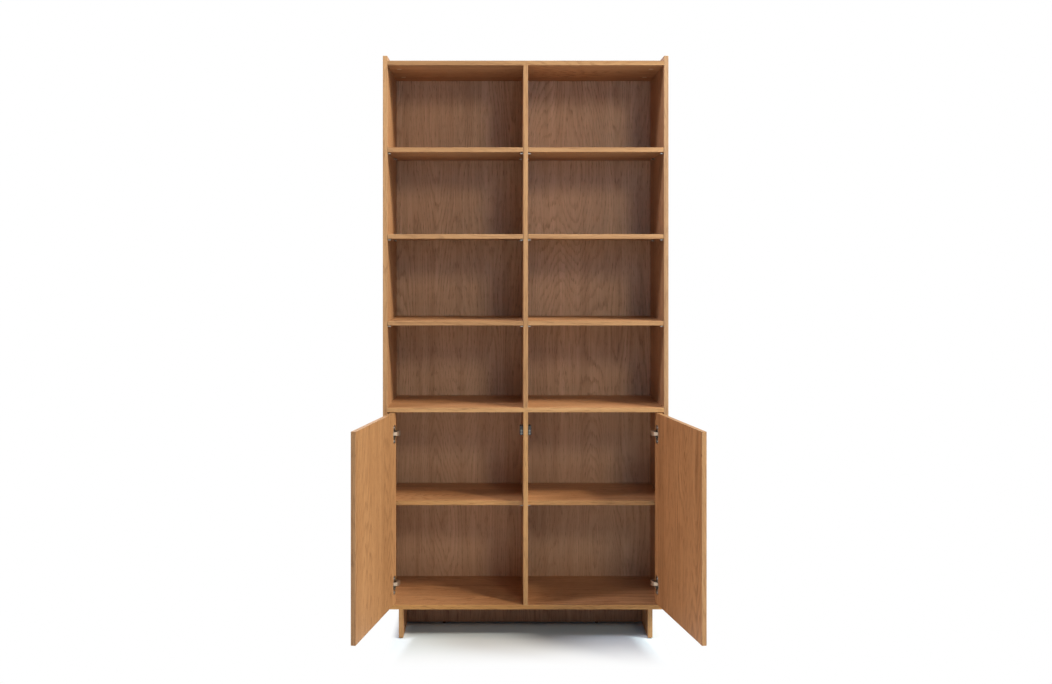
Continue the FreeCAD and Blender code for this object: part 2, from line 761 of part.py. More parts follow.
def cup_screw_places(height):
    """Returns the two screw points of a cup flange on the door's inner face."""
    x = DOOR_EDGE + CUP_FROM_EDGE + CUP_SCREW_OFFSET
    half = CUP_SCREW_SPACING / 2
    return [Vector(x, DOOR_THICKNESS, height + drop) for drop in (-half, half)]


def cup_flange(height):
    """Returns the plate that lies on the door's inner face around the cup."""
    x0 = DOOR_EDGE + FLANGE_FROM_EDGE - FLANGE_WIDTH / 2
    y1 = DOOR_THICKNESS + FLANGE_THICKNESS
    half = FLANGE_HEIGHT / 2
    plate = block(x0, x0 + FLANGE_WIDTH, DOOR_THICKNESS, y1, height - half, height + half)
    corner = FLANGE_WIDTH / 3
    plate = rounded(plate, corner, lambda edge: along_axis(edge, 1))
    collar = rod(cup_mouth(height), Y_AXIS, FLANGE_THICKNESS, CUP_RADIUS + CUP_WALL)
    return plate.fuse(collar)


def pivot_ear(height, side):
    """Returns one of the two ears on the cup's floor that hold the hinge pin."""
    z0 = height + EYE_HALF_WIDTH + EAR_PLAY
    if side == LEFT:
        z0 = height - EYE_HALF_WIDTH - EAR_PLAY - EAR_THICKNESS
    floor = DOOR_THICKNESS - CUP_DEPTH
    centre = Vector(PIVOT_X, PIVOT_FROM_FRONT, z0)
    ring = rod(centre, Z_AXIS, EAR_THICKNESS, EAR_RADIUS)
    foot = block(
        PIVOT_X - EAR_RADIUS, PIVOT_X + EAR_RADIUS, floor, PIVOT_FROM_FRONT, z0, z0 + EAR_THICKNESS
    )
    below_floor = block(
        PIVOT_X - CUP_RADIUS, PIVOT_X + CUP_RADIUS, floor - CUP_RADIUS, floor, z0, z0 + EAR_THICKNESS
    )
    return ring.fuse(foot).cut(below_floor)


def hinge_cup(height):
    """Returns a cup with its flange and its two pivot ears."""
    mouth = cup_mouth(height)
    outer = rod(mouth, Y_AXIS * -1, CUP_DEPTH, CUP_RADIUS)
    outer = rounded(outer, CUP_WALL, lambda edge: is_rim_at(edge, mouth - Y_AXIS * CUP_DEPTH, CUP_RADIUS))
    inner_start = mouth + Y_AXIS * FLANGE_THICKNESS
    inner_length = CUP_DEPTH - CUP_WALL + FLANGE_THICKNESS
    inner = rod(inner_start, Y_AXIS * -1, inner_length, CUP_RADIUS - CUP_WALL)
    shell = outer.fuse(cup_flange(height)).cut(inner)
    ears = [pivot_ear(height, side).common(outer) for side in (LEFT, RIGHT)]
    cup = shell.fuse(ears)
    holes = [hinge_pin_hole(height)]
    for place in cup_screw_places(height):
        holes.append(rod(place, Y_AXIS, FLANGE_THICKNESS, SCREW_RADIUS + FIT_PLAY))
    return cut(cup, holes)


def pin_half_length():
    """Returns half the length of a hinge pin, which ends flush with its ears."""
    return EYE_HALF_WIDTH + EAR_PLAY + EAR_THICKNESS


def hinge_pin(height):
    """Returns the pin that joins the cup to the arm."""
    half = pin_half_length()
    return rod(Vector(PIVOT_X, PIVOT_FROM_FRONT, height - half), Z_AXIS, half * 2, PIN_RADIUS)


def hinge_pin_hole(height):
    """Returns the running hole of a hinge pin."""
    half = pin_half_length()
    start = Vector(PIVOT_X, PIVOT_FROM_FRONT, height - half)
    return rod(start, Z_AXIS, half * 2, PIN_RADIUS + RUNNING_PLAY)


def arm_route():
    """Returns the middle line of the cranked arm in plan, from the pin to the end of the mounting block."""
    face = DOOR_THICKNESS
    side = -INNER_HALF
    seat = side + PLATE_BLOCK_HEIGHT + ARM_THICKNESS / 2
    elbow = side + ARM_REACH
    block_start = PLATE_Y - PLATE_WIDTH / 2
    return [
        Vector(PIVOT_X, PIVOT_FROM_FRONT, 0),
        Vector(DOOR_EDGE + NECK_OUTSET, face - NECK_SINK, 0),
        Vector(DOOR_EDGE + LIP_OUTSET, face - LIP_SINK, 0),
        Vector(DOOR_EDGE + CRANK_OUTSET, face + CRANK_RISE, 0),
        Vector(elbow, face + ELBOW_START, 0),
        Vector(elbow, face + ELBOW_END, 0),
        Vector(seat + SEAT_STEP, block_start - SEAT_LEAD, 0),
        Vector(seat, block_start + SEAT_REST, 0),
        Vector(seat, block_start + PLATE_BLOCK_LENGTH, 0),
    ]


def offset_path(route, offset, radius):
    """Returns the edges of a route moved sideways by offset, with its corners bent to a radius."""
    last = len(route) - 1
    edges = []
    start = route[0] + sideways(route[0], route[1]) * offset
    for index in range(1, last):
        before = (route[index] - route[index - 1]).normalize()
        after = (route[index + 1] - route[index]).normalize()
        turn = math.atan2(before.cross(after).z, before.dot(after))
        setback = radius * math.tan(abs(turn) / 2)
        hand = math.copysign(1, turn)
        centre = route[index] - before * setback + sideways(route[index - 1], route[index]) * radius * hand
        reach = radius - offset * hand
        bend_start = centre - sideways(route[index - 1], route[index]) * reach * hand
        bend_end = centre - sideways(route[index], route[index + 1]) * reach * hand
        outward = (bend_start + bend_end) * 0.5 - centre
        bend_middle = centre + outward.normalize() * reach
        edges.append(Part.LineSegment(start, bend_start).toShape())
        edges.append(Part.Arc(bend_start, bend_middle, bend_end).toShape())
        start = bend_end
    end = route[last] + sideways(route[last - 1], route[last]) * offset
    edges.append(Part.LineSegment(start, end).toShape())
    return edges, route[0] + sideways(route[0], route[1]) * offset, end


def sideways(start, end):
    """Returns the unit vector to the left of the way from start to end."""
    along = (end - start).normalize()
    return Vector(-along.y, along.x, 0)


def bent_strip(route, thickness, radius, z0, z1):
    """Returns a strip of a thickness bent along a route in plan, between two heights."""
    left, left_start, left_end = offset_path(route, thickness / 2, radius)
    right, right_start, right_end = offset_path(route, -thickness / 2, radius)
    ends = [
        Part.LineSegment(left_start, right_start).toShape(),
        Part.LineSegment(left_end, right_end).toShape(),
    ]
    outline = Part.Wire(Part.__sortEdges__(left + right + ends))
    face = Part.Face(outline)
    face.translate(Vector(0, 0, z0))
    return face.extrude(Z_AXIS * (z1 - z0))


def neck_relief(height, side):
    """Returns what is cut from the arm above or below the eye, so that the neck passes between the ears."""
    narrow = EYE_HALF_WIDTH + (ARM_HALF_WIDTH - EYE_HALF_WIDTH) / 3
    x0 = PIVOT_X - EYE_RADIUS
    x1 = PIVOT_X + EAR_RADIUS + NECK_CLEARANCE
    x2 = DOOR_EDGE + LIP_OUTSET
    x3 = DOOR_EDGE + CRANK_OUTSET
    outline = [(x0, EYE_HALF_WIDTH), (x1, EYE_HALF_WIDTH), (x2, narrow), (x3, ARM_HALF_WIDTH)]
    outline += [(x3, ARM_HALF_WIDTH + 1), (x0, ARM_HALF_WIDTH + 1), (x0, EYE_HALF_WIDTH)]
    points = [Vector(x, -CUP_RADIUS, height + z * side) for x, z in outline]
    face = Part.Face(Part.makePolygon(points))
    return face.extrude(Y_AXIS * (CUP_RADIUS * 3))


def hinge_arm(height):
    """Returns an arm: an eye on the pin, a neck out of the cup, a crank and a channel over the block."""
    z0 = height - ARM_HALF_WIDTH
    z1 = height + ARM_HALF_WIDTH
    route = arm_route()
    strip = bent_strip(route, ARM_THICKNESS, ARM_BEND_RADIUS, z0, z1)
    strip = cut(strip, [neck_relief(height, side) for side in (LEFT, RIGHT)])
    eye_start = Vector(PIVOT_X, PIVOT_FROM_FRONT, height - EYE_HALF_WIDTH)
    eye = rod(eye_start, Z_AXIS, EYE_HALF_WIDTH * 2, EYE_RADIUS)
    rear = route[-1].y
    front = route[-2].y + ARM_BEND_RADIUS
    x1 = -INNER_HALF + PLATE_BLOCK_HEIGHT
    x0 = -INNER_HALF + PLATE_THICKNESS + EAR_PLAY
    walls = [
        block(x0, x1, front, rear, height - ARM_HALF_WIDTH, height - ARM_HALF_WIDTH + ARM_FLANGE),
        block(x0, x1, front, rear, height + ARM_HALF_WIDTH - ARM_FLANGE, height + ARM_HALF_WIDTH),
    ]
    arm = strip.fuse([eye] + walls)
    holes = [rod(eye_start, Z_AXIS, EYE_HALF_WIDTH * 2, PIN_RADIUS + RUNNING_PLAY)]
    holes += [clamp_screw_hole(place) for place in clamp_screw_places(height)]
    return cut(arm, holes).removeSplitter()


def plate_screw_places(height):
    """Returns the two screw points of a mounting plate on the side panel."""
    half = PLATE_SCREW_SPACING / 2
    return [Vector(-INNER_HALF, PLATE_Y, height + drop) for drop in (-half, half)]


def plate_screw_holes(height):
    """Returns the pilot holes of a mounting plate in the side panel."""
    return [screw_hole(place, X_AXIS * -1) for place in plate_screw_places(height)]


def clamp_screw_places(height):
    """Returns where the arm is clamped on its mounting block."""
    x = -INNER_HALF + PLATE_BLOCK_HEIGHT + ARM_THICKNESS
    start = PLATE_Y - PLATE_WIDTH / 2
    return [Vector(x, start + PLATE_BLOCK_LENGTH * share, height) for share in (0.4, 0.8)]


def clamp_screw_hole(place):
    """Returns the hole of a clamp screw through the arm into the block."""
    return rod(place, X_AXIS * -1, ARM_THICKNESS + PLATE_BLOCK_HEIGHT / 2, CLAMP_SCREW_RADIUS + FIT_PLAY)


def clamp_screw(place):
    """Returns a clamp screw with a low slotted head."""
    shank = rod(place, X_AXIS * -1, ARM_THICKNESS + PLATE_BLOCK_HEIGHT / 2, CLAMP_SCREW_RADIUS)
    head = rod(place, X_AXIS, SCREW_HEAD_HEIGHT, CLAMP_HEAD_RADIUS)
    top = place + X_AXIS * SCREW_HEAD_HEIGHT
    return head.fuse(shank).cut(cross_slot(top, X_AXIS * -1))


def mounting_plate(height):
    """Returns a winged plate on the side panel with the raised block that the arm sits on."""
    side = -INNER_HALF
    half = PLATE_HEIGHT / 2
    y0 = PLATE_Y - PLATE_WIDTH / 2
    wings = block(side, side + PLATE_THICKNESS, y0, y0 + PLATE_WIDTH, height - half, height + half)
    corner = PLATE_WIDTH / 3
    wings = rounded(wings, corner, lambda edge: along_axis(edge, 0))
    z0 = height - PLATE_BLOCK_HALF_WIDTH
    z1 = height + PLATE_BLOCK_HALF_WIDTH
    raised = block(side, side + PLATE_BLOCK_HEIGHT, y0, y0 + PLATE_BLOCK_LENGTH, z0, z1)
    plate = wings.fuse(raised)
    holes = [rod(p, X_AXIS, PLATE_THICKNESS, SCREW_RADIUS + FIT_PLAY) for p in plate_screw_places(height)]
    holes += [clamp_screw_hole(place) for place in clamp_screw_places(height)]
    return cut(plate, holes)


# Catches, drawn for the left door

def catch_foot():
    """Returns the foot of the catch that lies on the divider behind its housing."""
    x0 = -HALF_BOARD - CATCH_FOOT
    y0 = CATCH_Y + CATCH_LENGTH
    half = CATCH_HEIGHT / 2
    return block(x0, -HALF_BOARD, y0, y0 + CATCH_FOOT_LENGTH, CATCH_Z - half, CATCH_Z + half)


def catch_screw_places():
    """Returns the two screw points of the catch's foot on the divider."""
    y = CATCH_Y + CATCH_LENGTH + CATCH_FOOT_LENGTH / 2
    return [Vector(-HALF_BOARD, y, CATCH_Z + drop) for drop in (-CATCH_HEIGHT / 4, CATCH_HEIGHT / 4)]


def catch_screw_holes():
    """Returns the through holes of both catches in the divider."""
    return [rod(place, X_AXIS, BOARD, SCREW_RADIUS + FIT_PLAY) for place in catch_screw_places()]


def catch_screw(place):
    """Returns a short screw that holds the catch, ending before the middle of the divider."""
    seat = place - X_AXIS * CATCH_FOOT
    shank = rod(seat, X_AXIS, CATCH_FOOT + HALF_BOARD - BORE_END_PLAY, SCREW_RADIUS)
    head = rod(seat - X_AXIS * SCREW_HEAD_HEIGHT, X_AXIS, SCREW_HEAD_HEIGHT, SCREW_HEAD_RADIUS)
    return head.fuse(shank).cut(cross_slot(seat - X_AXIS * SCREW_HEAD_HEIGHT, X_AXIS))


def catch_housing():
    """Returns the housing of a magnetic catch with the bores for its magnet and its pole screw."""
    half = CATCH_HEIGHT / 2
    x0 = -HALF_BOARD - CATCH_WIDTH
    body = block(x0, -HALF_BOARD, CATCH_Y, CATCH_Y + CATCH_LENGTH, CATCH_Z - half, CATCH_Z + half)
    outer = x0
    body = rounded(body, CATCH_CORNER, lambda edge: along_axis(edge, 1) and in_plane(edge, 0, outer))
    tools = [rod(magnet_place(drop), Y_AXIS, MAGNET_LENGTH, MAGNET_RADIUS) for drop in (-1, 1)]
    screws = [rod(p, X_AXIS * -1, CATCH_FOOT, SCREW_RADIUS + FIT_PLAY) for p in catch_screw_places()]
    return cut(body.fuse(catch_foot()), tools + screws)


def magnet_place(drop):
    """Returns the centre of a catch's lower pole, for drop -1, or upper pole, for drop 1."""
    return Vector(CATCH_X, CATCH_Y, CATCH_Z - MAGNET_DROP + MAGNET_HALF_SPACING * drop)


def catch_magnet(drop):
    """Returns a round pole of the catch, flush with the housing."""
    return rod(magnet_place(drop), Y_AXIS, MAGNET_LENGTH, MAGNET_RADIUS - FIT_PLAY)


# Sub-parts

def write_carcass():
    """Writes the boards of the carcass and the base."""
    side = left_side_panel()
    write("side_panel_left", [side])
    write("side_panel_right", [mirrored(side, RIGHT)])
    write("top_panel", [top_panel()])
    write("fixed_shelf", [fixed_shelf()])
    write("bottom_panel", [bottom_panel()])
    write("upper_divider", [upper_divider()])
    write("lower_divider", [lower_divider()])
    write("upper_back_panel", [upper_back_panel()])
    write("lower_back_panel", [lower_back_panel()])
    leg = left_leg_panel()
    write("leg_panel_left", [leg])
    write("leg_panel_right", [mirrored(leg, RIGHT)])
    write("base_stretcher", [base_stretcher()])


def write_shelves():
    """Writes the adjustable shelves and their pins."""
    for side, name in ((LEFT, "left"), (RIGHT, "right")):
        for number, level in enumerate(shelf_levels(), 1):
            shelf = adjustable_shelf(level, UPPER_SHELF_INSET)
            write("upper_shelf_{}_{}".format(name, number), [mirrored(shelf, side)])
        shelf = adjustable_shelf(lower_shelf_level(), LOWER_SHELF_INSET)
        write("lower_shelf_{}".format(name), [mirrored(shelf, side)])
        upper_pins = [mirrored(shelf_pin(*spot), side) for spot in upper_pin_places()]
        lower_pins = [mirrored(shelf_pin(*spot), side) for spot in lower_pin_places()]
        write("upper_shelf_pins_{}".format(name), upper_pins)
        write("lower_shelf_pins_{}".format(name), lower_pins)


def write_fittings():
    """Writes what joins the boards, and the glides."""
    cams = [cam_lock(place, Z_AXIS, X_AXIS) for place in cam_places()]
    base_cams = [cam_lock(place, X_AXIS * -1, Z_AXIS * -1) for place in leg_cam_places()]
    base_cams += [cam_lock(place, Y_AXIS * -1, Z_AXIS * -1) for place in stretcher_cam_places()]
    bolts = [cam_bolt(place, X_AXIS) for place in bolt_places()]
    base_bolts = [cam_bolt(place, Z_AXIS * -1) for place in leg_bolt_places() + stretcher_bolt_places()]
    capped = [place for place in cam_places() if place.z > BASE_HEIGHT]
    caps = [rod(place, Z_AXIS * -1, CAP_THICKNESS, CAP_RADIUS) for place in capped]
    side_dowels = [dowel(place, X_AXIS) for place in side_dowel_places() + stretcher_dowel_places()]
    middle_dowels = [dowel(place, axis) for place, axis in divider_dowel_places()]
    write("panel_cam_locks", both_sides(cams))
    write("panel_cam_bolts", both_sides(bolts))
    write("base_cam_locks", both_sides(base_cams))
    write("base_cam_bolts", both_sides(base_bolts))
    write("cam_cover_caps", both_sides(caps))
    write("dowels", both_sides(side_dowels) + middle_dowels)
    write("back_panel_screws", [back_screw(place) for place in back_screw_places()])
    write("leg_glides", both_sides([leg_glide(place) for place in leg_glide_places()]))
    write("stretcher_glides", [dome_glide(place) for place in dome_glide_places()])


def write_doors():
    """Writes each door with what turns with it, standing open, and the hinge parts on the carcass."""
    for side, name in ((LEFT, "left"), (RIGHT, "right")):
        cups = [hinge_cup(height) for height in HINGE_HEIGHTS]
        pins = [hinge_pin(height) for height in HINGE_HEIGHTS]
        screws = [
            wood_screw(place, Y_AXIS * -1, FLANGE_THICKNESS)
            for height in HINGE_HEIGHTS
            for place in cup_screw_places(height)
        ]
        write("door_{}".format(name), [swung(door_panel(), side)])
        write("hinge_cups_{}".format(name), [swung(cup, side) for cup in cups])
        write("hinge_pins_{}".format(name), [swung(pin, side) for pin in pins])
        write("hinge_cup_screws_{}".format(name), [swung(screw, side) for screw in screws])
        write("strike_plate_{}".format(name), [swung(strike_plate(), side)])


def write_hinge_arms():
    """Writes the hinge parts and the catches that stay on the carcass."""
    for side, name in ((LEFT, "left"), (RIGHT, "right")):
        arms = [hinge_arm(height) for height in HINGE_HEIGHTS]
        plates = [mounting_plate(height) for height in HINGE_HEIGHTS]
        plate_screws = [
            wood_screw(place, X_AXIS * -1, PLATE_THICKNESS)
            for height in HINGE_HEIGHTS
            for place in plate_screw_places(height)
        ]
        clamp_screws = [
            clamp_screw(place) for height in HINGE_HEIGHTS for place in clamp_screw_places(height)
        ]
        catch_screws = [catch_screw(place) for place in catch_screw_places()]
        write("hinge_arms_{}".format(name), [mirrored(arm, side) for arm in arms])
        write("hinge_plates_{}".format(name), [mirrored(plate, side) for plate in plates])
        write("hinge_plate_screws_{}".format(name), [mirrored(s, side) for s in plate_screws])
        write("hinge_clamp_screws_{}".format(name), [mirrored(s, side) for s in clamp_screws])
        write("catch_{}".format(name), [mirrored(catch_housing(), side)])
        write("catch_poles_{}".format(name), [mirrored(catch_magnet(drop), side) for drop in (-1, 1)])
        write("catch_screws_{}".format(name), [mirrored(s, side) for s in catch_screws])


os.makedirs("parts", exist_ok=True)
write_carcass()
write_shelves()
write_fittings()
write_doors()
write_hinge_arms()
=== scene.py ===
"""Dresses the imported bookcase: veneered boards, plated fittings, a pale floor and soft studio light."""

import json
import math

import bmesh
import bpy
from mathutils import Matrix, Vector


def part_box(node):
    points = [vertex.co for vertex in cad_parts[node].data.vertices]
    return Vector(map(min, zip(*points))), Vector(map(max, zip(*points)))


bl_info = {
    "name": "Bookcase with cabinet doors",
    "version": (1, 0, 0),
    "blender": (4, 5, 0),
    "location": "View3D > Sidebar > Bookcase",
    "description": "Finishes the boards and fittings of a tall bookcase and sets its studio",
    "category": "Object",
}

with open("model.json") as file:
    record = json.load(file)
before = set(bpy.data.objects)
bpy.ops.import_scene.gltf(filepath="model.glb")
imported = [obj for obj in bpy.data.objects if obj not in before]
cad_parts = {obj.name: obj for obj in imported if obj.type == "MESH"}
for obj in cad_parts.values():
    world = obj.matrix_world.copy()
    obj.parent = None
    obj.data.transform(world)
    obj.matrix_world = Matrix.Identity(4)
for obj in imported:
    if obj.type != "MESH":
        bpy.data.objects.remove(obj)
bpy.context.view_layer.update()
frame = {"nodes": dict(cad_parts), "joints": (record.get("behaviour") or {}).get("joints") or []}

MM = 0.001
IMAGE_WIDTH = 1052
IMAGE_HEIGHT = 684
SENSOR_WIDTH = 36.0
WHITE = (1.0, 1.0, 1.0, 1.0)

# Gain that leaves a colour as it is
PLAIN = (1.0, 1.0, 1.0)

UPRIGHT_BOARDS = ("side_panel_left", "side_panel_right", "upper_divider", "lower_divider")
LEVEL_BOARDS = ("top_panel", "fixed_shelf", "bottom_panel")
LEG_BOARDS = ("leg_panel_left", "leg_panel_right")
ZINC_FITTINGS = (
    "panel_cam_locks", "base_cam_locks", "panel_cam_bolts", "base_cam_bolts", "back_panel_screws")
PLASTIC_FITTINGS = (
    ("cam_cover_caps", "cap_plastic"),
    ("leg_glides", "leg_glide_plastic"),
    ("stretcher_glides", "dome_glide_plastic"),
)
SIDES = ("left", "right")

# Roughness that a board has more than the others
DULLER_BOARDS = {"top_panel": 0.20}

# Contrast, pores and figure of the back panels against those of the other boards
BACK_BOARDS = {"upper_back_panel": (1.12, 1.15, 0.55), "lower_back_panel": (0.86, 0.9, 0.55)}

# Colour of a board's faces against the mean veneer, and of its edge bands against its faces. These gains
# are partly a board's own tone and partly painted light and shade, set to how each board is lit: the
# stretcher under the carcass and the right side's inner face are darker and bluer as painted shade, and
# each board's edge bands are lighter or darker as painted light.
LEVEL_TONE_AND_PAINTED_LIGHT = (1.03, 0.98, 0.95)
BOARD_TONES_AND_PAINTED_LIGHT = {
    "side_panel_left": (PLAIN, (1.04, 1.12, 1.09)),
    "side_panel_right": ((0.93, 0.92, 1.0), (0.99, 1.14, 1.18)),
    "upper_divider": (PLAIN, (0.88, 0.91, 0.84)),
    "lower_divider": (PLAIN, (1.11, 1.20, 1.05)),
    "top_panel": (LEVEL_TONE_AND_PAINTED_LIGHT, (0.80, 0.87, 0.83)),
    "fixed_shelf": (LEVEL_TONE_AND_PAINTED_LIGHT, (1.12, 1.29, 1.24)),
    "bottom_panel": (LEVEL_TONE_AND_PAINTED_LIGHT, (1.05, 1.09, 0.78)),
    "lower_shelf_left": (LEVEL_TONE_AND_PAINTED_LIGHT, (1.02, 1.10, 0.92)),
    "lower_shelf_right": (LEVEL_TONE_AND_PAINTED_LIGHT, (0.96, 1.02, 0.84)),
    "leg_panel_left": (PLAIN, (0.92, 0.95, 0.80)),
    "leg_panel_right": (PLAIN, (1.06, 1.13, 1.0)),
    "base_stretcher": ((0.69, 0.70, 0.88), (0.92, 0.95, 0.89)),
}

# Seeds of the veneers: the first of each group of boards, and the step from one board to the next
UPRIGHT_SEED = 1.0
LEVEL_SEED = 9.0
LEG_SEED = 15.0
STRETCHER_SEED = 19.0
BACK_SEED = 31.0
SHELF_SEED = 41.0
DOOR_SEED = 63.0
DOWEL_SEED = 77.0
SEED_STEP = 1.37
DOOR_SEED_STEP = 4.7

# Noises of the grain: features per metre across it twice and then along it, detail, roughness
SWELL_NOISE = ((5.5, 5.5, 0.75), 1.0, 0.4)
WAVER_NOISE = ((60.0, 60.0, 5.0), 2.0, 0.55)
STRENGTH_NOISE = ((8.0, 8.0, 1.6), 1.0, 0.5)
STREAK_NOISE = ((33.0, 33.0, 0.75), 2.0, 0.5)
STRAND_NOISE = ((210.0, 210.0, 4.5), 2.5, 0.6)
LINE_NOISE = ((330.0, 330.0, 5.0), 1.0, 0.5)
CLOUD_NOISE = ((5.0, 5.0, 1.6), 1.0, 0.5)
FIBRE_NOISE = ((700.0, 700.0, 16.0), 2.0, 0.6)
VESSEL_NOISE = ((900.0, 900.0, 34.0), 1.0, 0.5)

# Place of a seed's piece of veneer, and the turns that lay a board's length along the grain
SEED_SHIFT = (3.1, 1.7, 2.3)
X_TO_Z = (0.0, -math.pi / 2, 0.0)
Y_TO_Z = (math.pi / 2, 0.0, 0.0)

# Growth rings: their number over a noise's range, where in a ring it darkens and clears again,
# and how their strength goes with its noise
RINGS_PER_SWELL = 40.0
RINGS_PER_WAVER = 1.5
RING_RISE = (0.35, 0.85)
RING_FALL = (0.90, 1.0, 1.0, 0.0)
RING_MEAN = 0.30
RING_STRENGTH = (0.42, 0.66, 0.12, 1.0)

# Share of each noise in the tone, and the part of a noise's range that makes a line
NOISE_MEAN = 0.5
LINE_RANGE = (0.60, 0.76)
STREAK_SHARE = 2.2
STRAND_SHARE = 2.2
CLOUD_SHARE = 1.1
FIBRE_SHARE = 0.8
LINE_SHARE = 0.8
RED_POWER = 0.8
BLUE_POWER = 1.25

# Pores: where in their noise they start, how much earlier in a ring, and how softly
PORE_START = 0.64
PORE_START_IN_RING = -0.13
PORE_SOFTNESS = 0.07
PORE_COLOUR = (0.50, 0.42, 0.36, 1.0)
PORE_ROUGHNESS = 0.22
PORE_HEIGHT = -0.8
FIBRE_HEIGHT = 0.35
RING_HEIGHT = -0.15

VENEER_SPECULAR = 0.42
VENEER_BUMP = 0.35
VENEER_BUMP_DEPTH = 0.12 * MM

# Edges of a board: arrises lightened by a painted highlight, edge bands with little figure, and the seams
# beside the bands
EDGE_HIGHLIGHT_WIDTH = 1.6 * MM
EDGE_HIGHLIGHT_COLOUR = (1.08, 1.10, 1.13, 1.0)
EDGE_ROUGHNESS = -0.06
BAND_THICKNESS = 1.0 * MM
BAND_BLUR = 0.1 * MM
BAND_FIGURE = 0.15
SEAM_CORE = 0.04 * MM
SEAM_REACH = 0.18 * MM
SEAM_COLOUR = (0.72, 0.66, 0.60, 1.0)
SEAM_HEIGHT = -0.6

# How far a face of an upright board looks up or down before it counts as an end
END_FACE_TURN = 0.75

# Plated metal: noises as for the grain, and what they change
HAZE_NOISE = ((180.0, 180.0, 180.0), 3.0, 0.55)
SCRATCH_NOISE = ((5200.0, 900.0, 260.0), 2.0, 0.6)
SPECK_NOISE = ((2600.0, 2600.0, 2600.0), 1.0, 0.5)
HAZE_RANGE = (0.45, 0.75)
HAZE_COLOUR = (0.80, 0.78, 0.76, 1.0)
HAZE_ROUGHNESS = 0.28
SCRATCH_ROUGHNESS = 0.22
SPECK_HEIGHT = 0.4
METAL_BUMP = 0.25
METAL_BUMP_DEPTH = 0.03 * MM

# Moulded plastic
MOULD_NOISE = ((1800.0, 1800.0, 1800.0), 2.0, 0.5)
MOULD_CLOUD_NOISE = ((90.0, 90.0, 90.0), 2.0, 0.5)
MOULD_COLOUR = (0.78, 0.78, 0.78, 1.0)
MOULD_ROUGHNESS = 0.15
MOULD_BUMP = 0.3
MOULD_BUMP_DEPTH = 0.06 * MM

# Floor: depths and offsets in metres from the middle of the outline
FLOOR_HALF_SIZE = 14.0
FLOOR_CLOUD_NOISE = ((0.9, 0.9, 0.9), 2.0, 0.5)
FLOOR_CLOUD_RANGE = (0.3, 0.7)
FLOOR_CLOUD_COLOUR = (0.88, 0.96, 1.0, 1.0)
# Painted light: a warm tint behind the bookcase that cancels the bluish cast of the shade there
FLOOR_BEHIND_PAINTED_TINT = (1.0, 0.87, 0.80, 1.0)
BEHIND_DEPTHS = (0.15, 0.45)
# Painted shade: the floor under the base gets a darker colour on top of the shadow that the lamps cast
PAINTED_SHADE_DEPTHS = (0.0, 0.12)
PAINTED_SHADE_OFFSETS = (0.44, 0.40)
SHADOW_SIDE_FADE = 0.037
FLOOR_ROUGHNESS = 0.9

# Lamps: name, place and colour; the power is a setting
LAMPS = (
    ("key", (3.0, -2.4, 4.2), (1.0, 0.87, 0.72)),
    ("right", (3.0, -1.2, 3.0), (0.93, 1.0, 0.96)),
    ("left", (-3.0, -1.2, 3.6), (0.94, 0.91, 1.0)),
    ("front", (1.5, -4.2, 3.0), (1.0, 0.9, 0.7)),
    ("fill", (0.5, -2.4, 1.8), (0.3, 0.6, 1.0)),
    ("top", (0.0, 0.2, 5.5), PLAIN),
    ("rear", (-1.2, 3.4, 4.4), PLAIN),
)
LAMP_AIM = Vector((0.0, 0.1, 1.0))


def linear(red, green, blue):
    """Returns a colour given in display values from 0 to 255 as scene values."""
    def one(value):
        value = value / 255
        return value / 12.92 if value <= 0.04045 else ((value + 0.055) / 1.055) ** 2.4
    return (one(red), one(green), one(blue), 1.0)


# Colour and roughness of the finishes that have no setting of their own
FINISHES = {
    "hinge_arm_satin": (linear(194, 174, 152), 0.46),
    "catch_black": (linear(46, 45, 45), 0.38),
    "pole_steel": (linear(124, 125, 122), 0.34),
    "strike_lacquer": (linear(158, 114, 74), 0.5),
    "cap_plastic": (linear(214, 182, 145), 0.45),
    "leg_glide_plastic": (linear(52, 48, 46), 0.5),
    "dome_glide_plastic": (linear(38, 37, 37), 0.4),
}
DOWEL_BEECH = linear(215, 185, 145)
PIN_ROUGHNESS = 0.26
HINGE_ROUGHNESS = 0.30
SCREW_ROUGHNESS = 0.36
CAM_ROUGHNESS = 0.42
LACQUER_METALLIC = 0.3


# Settings that a user would change

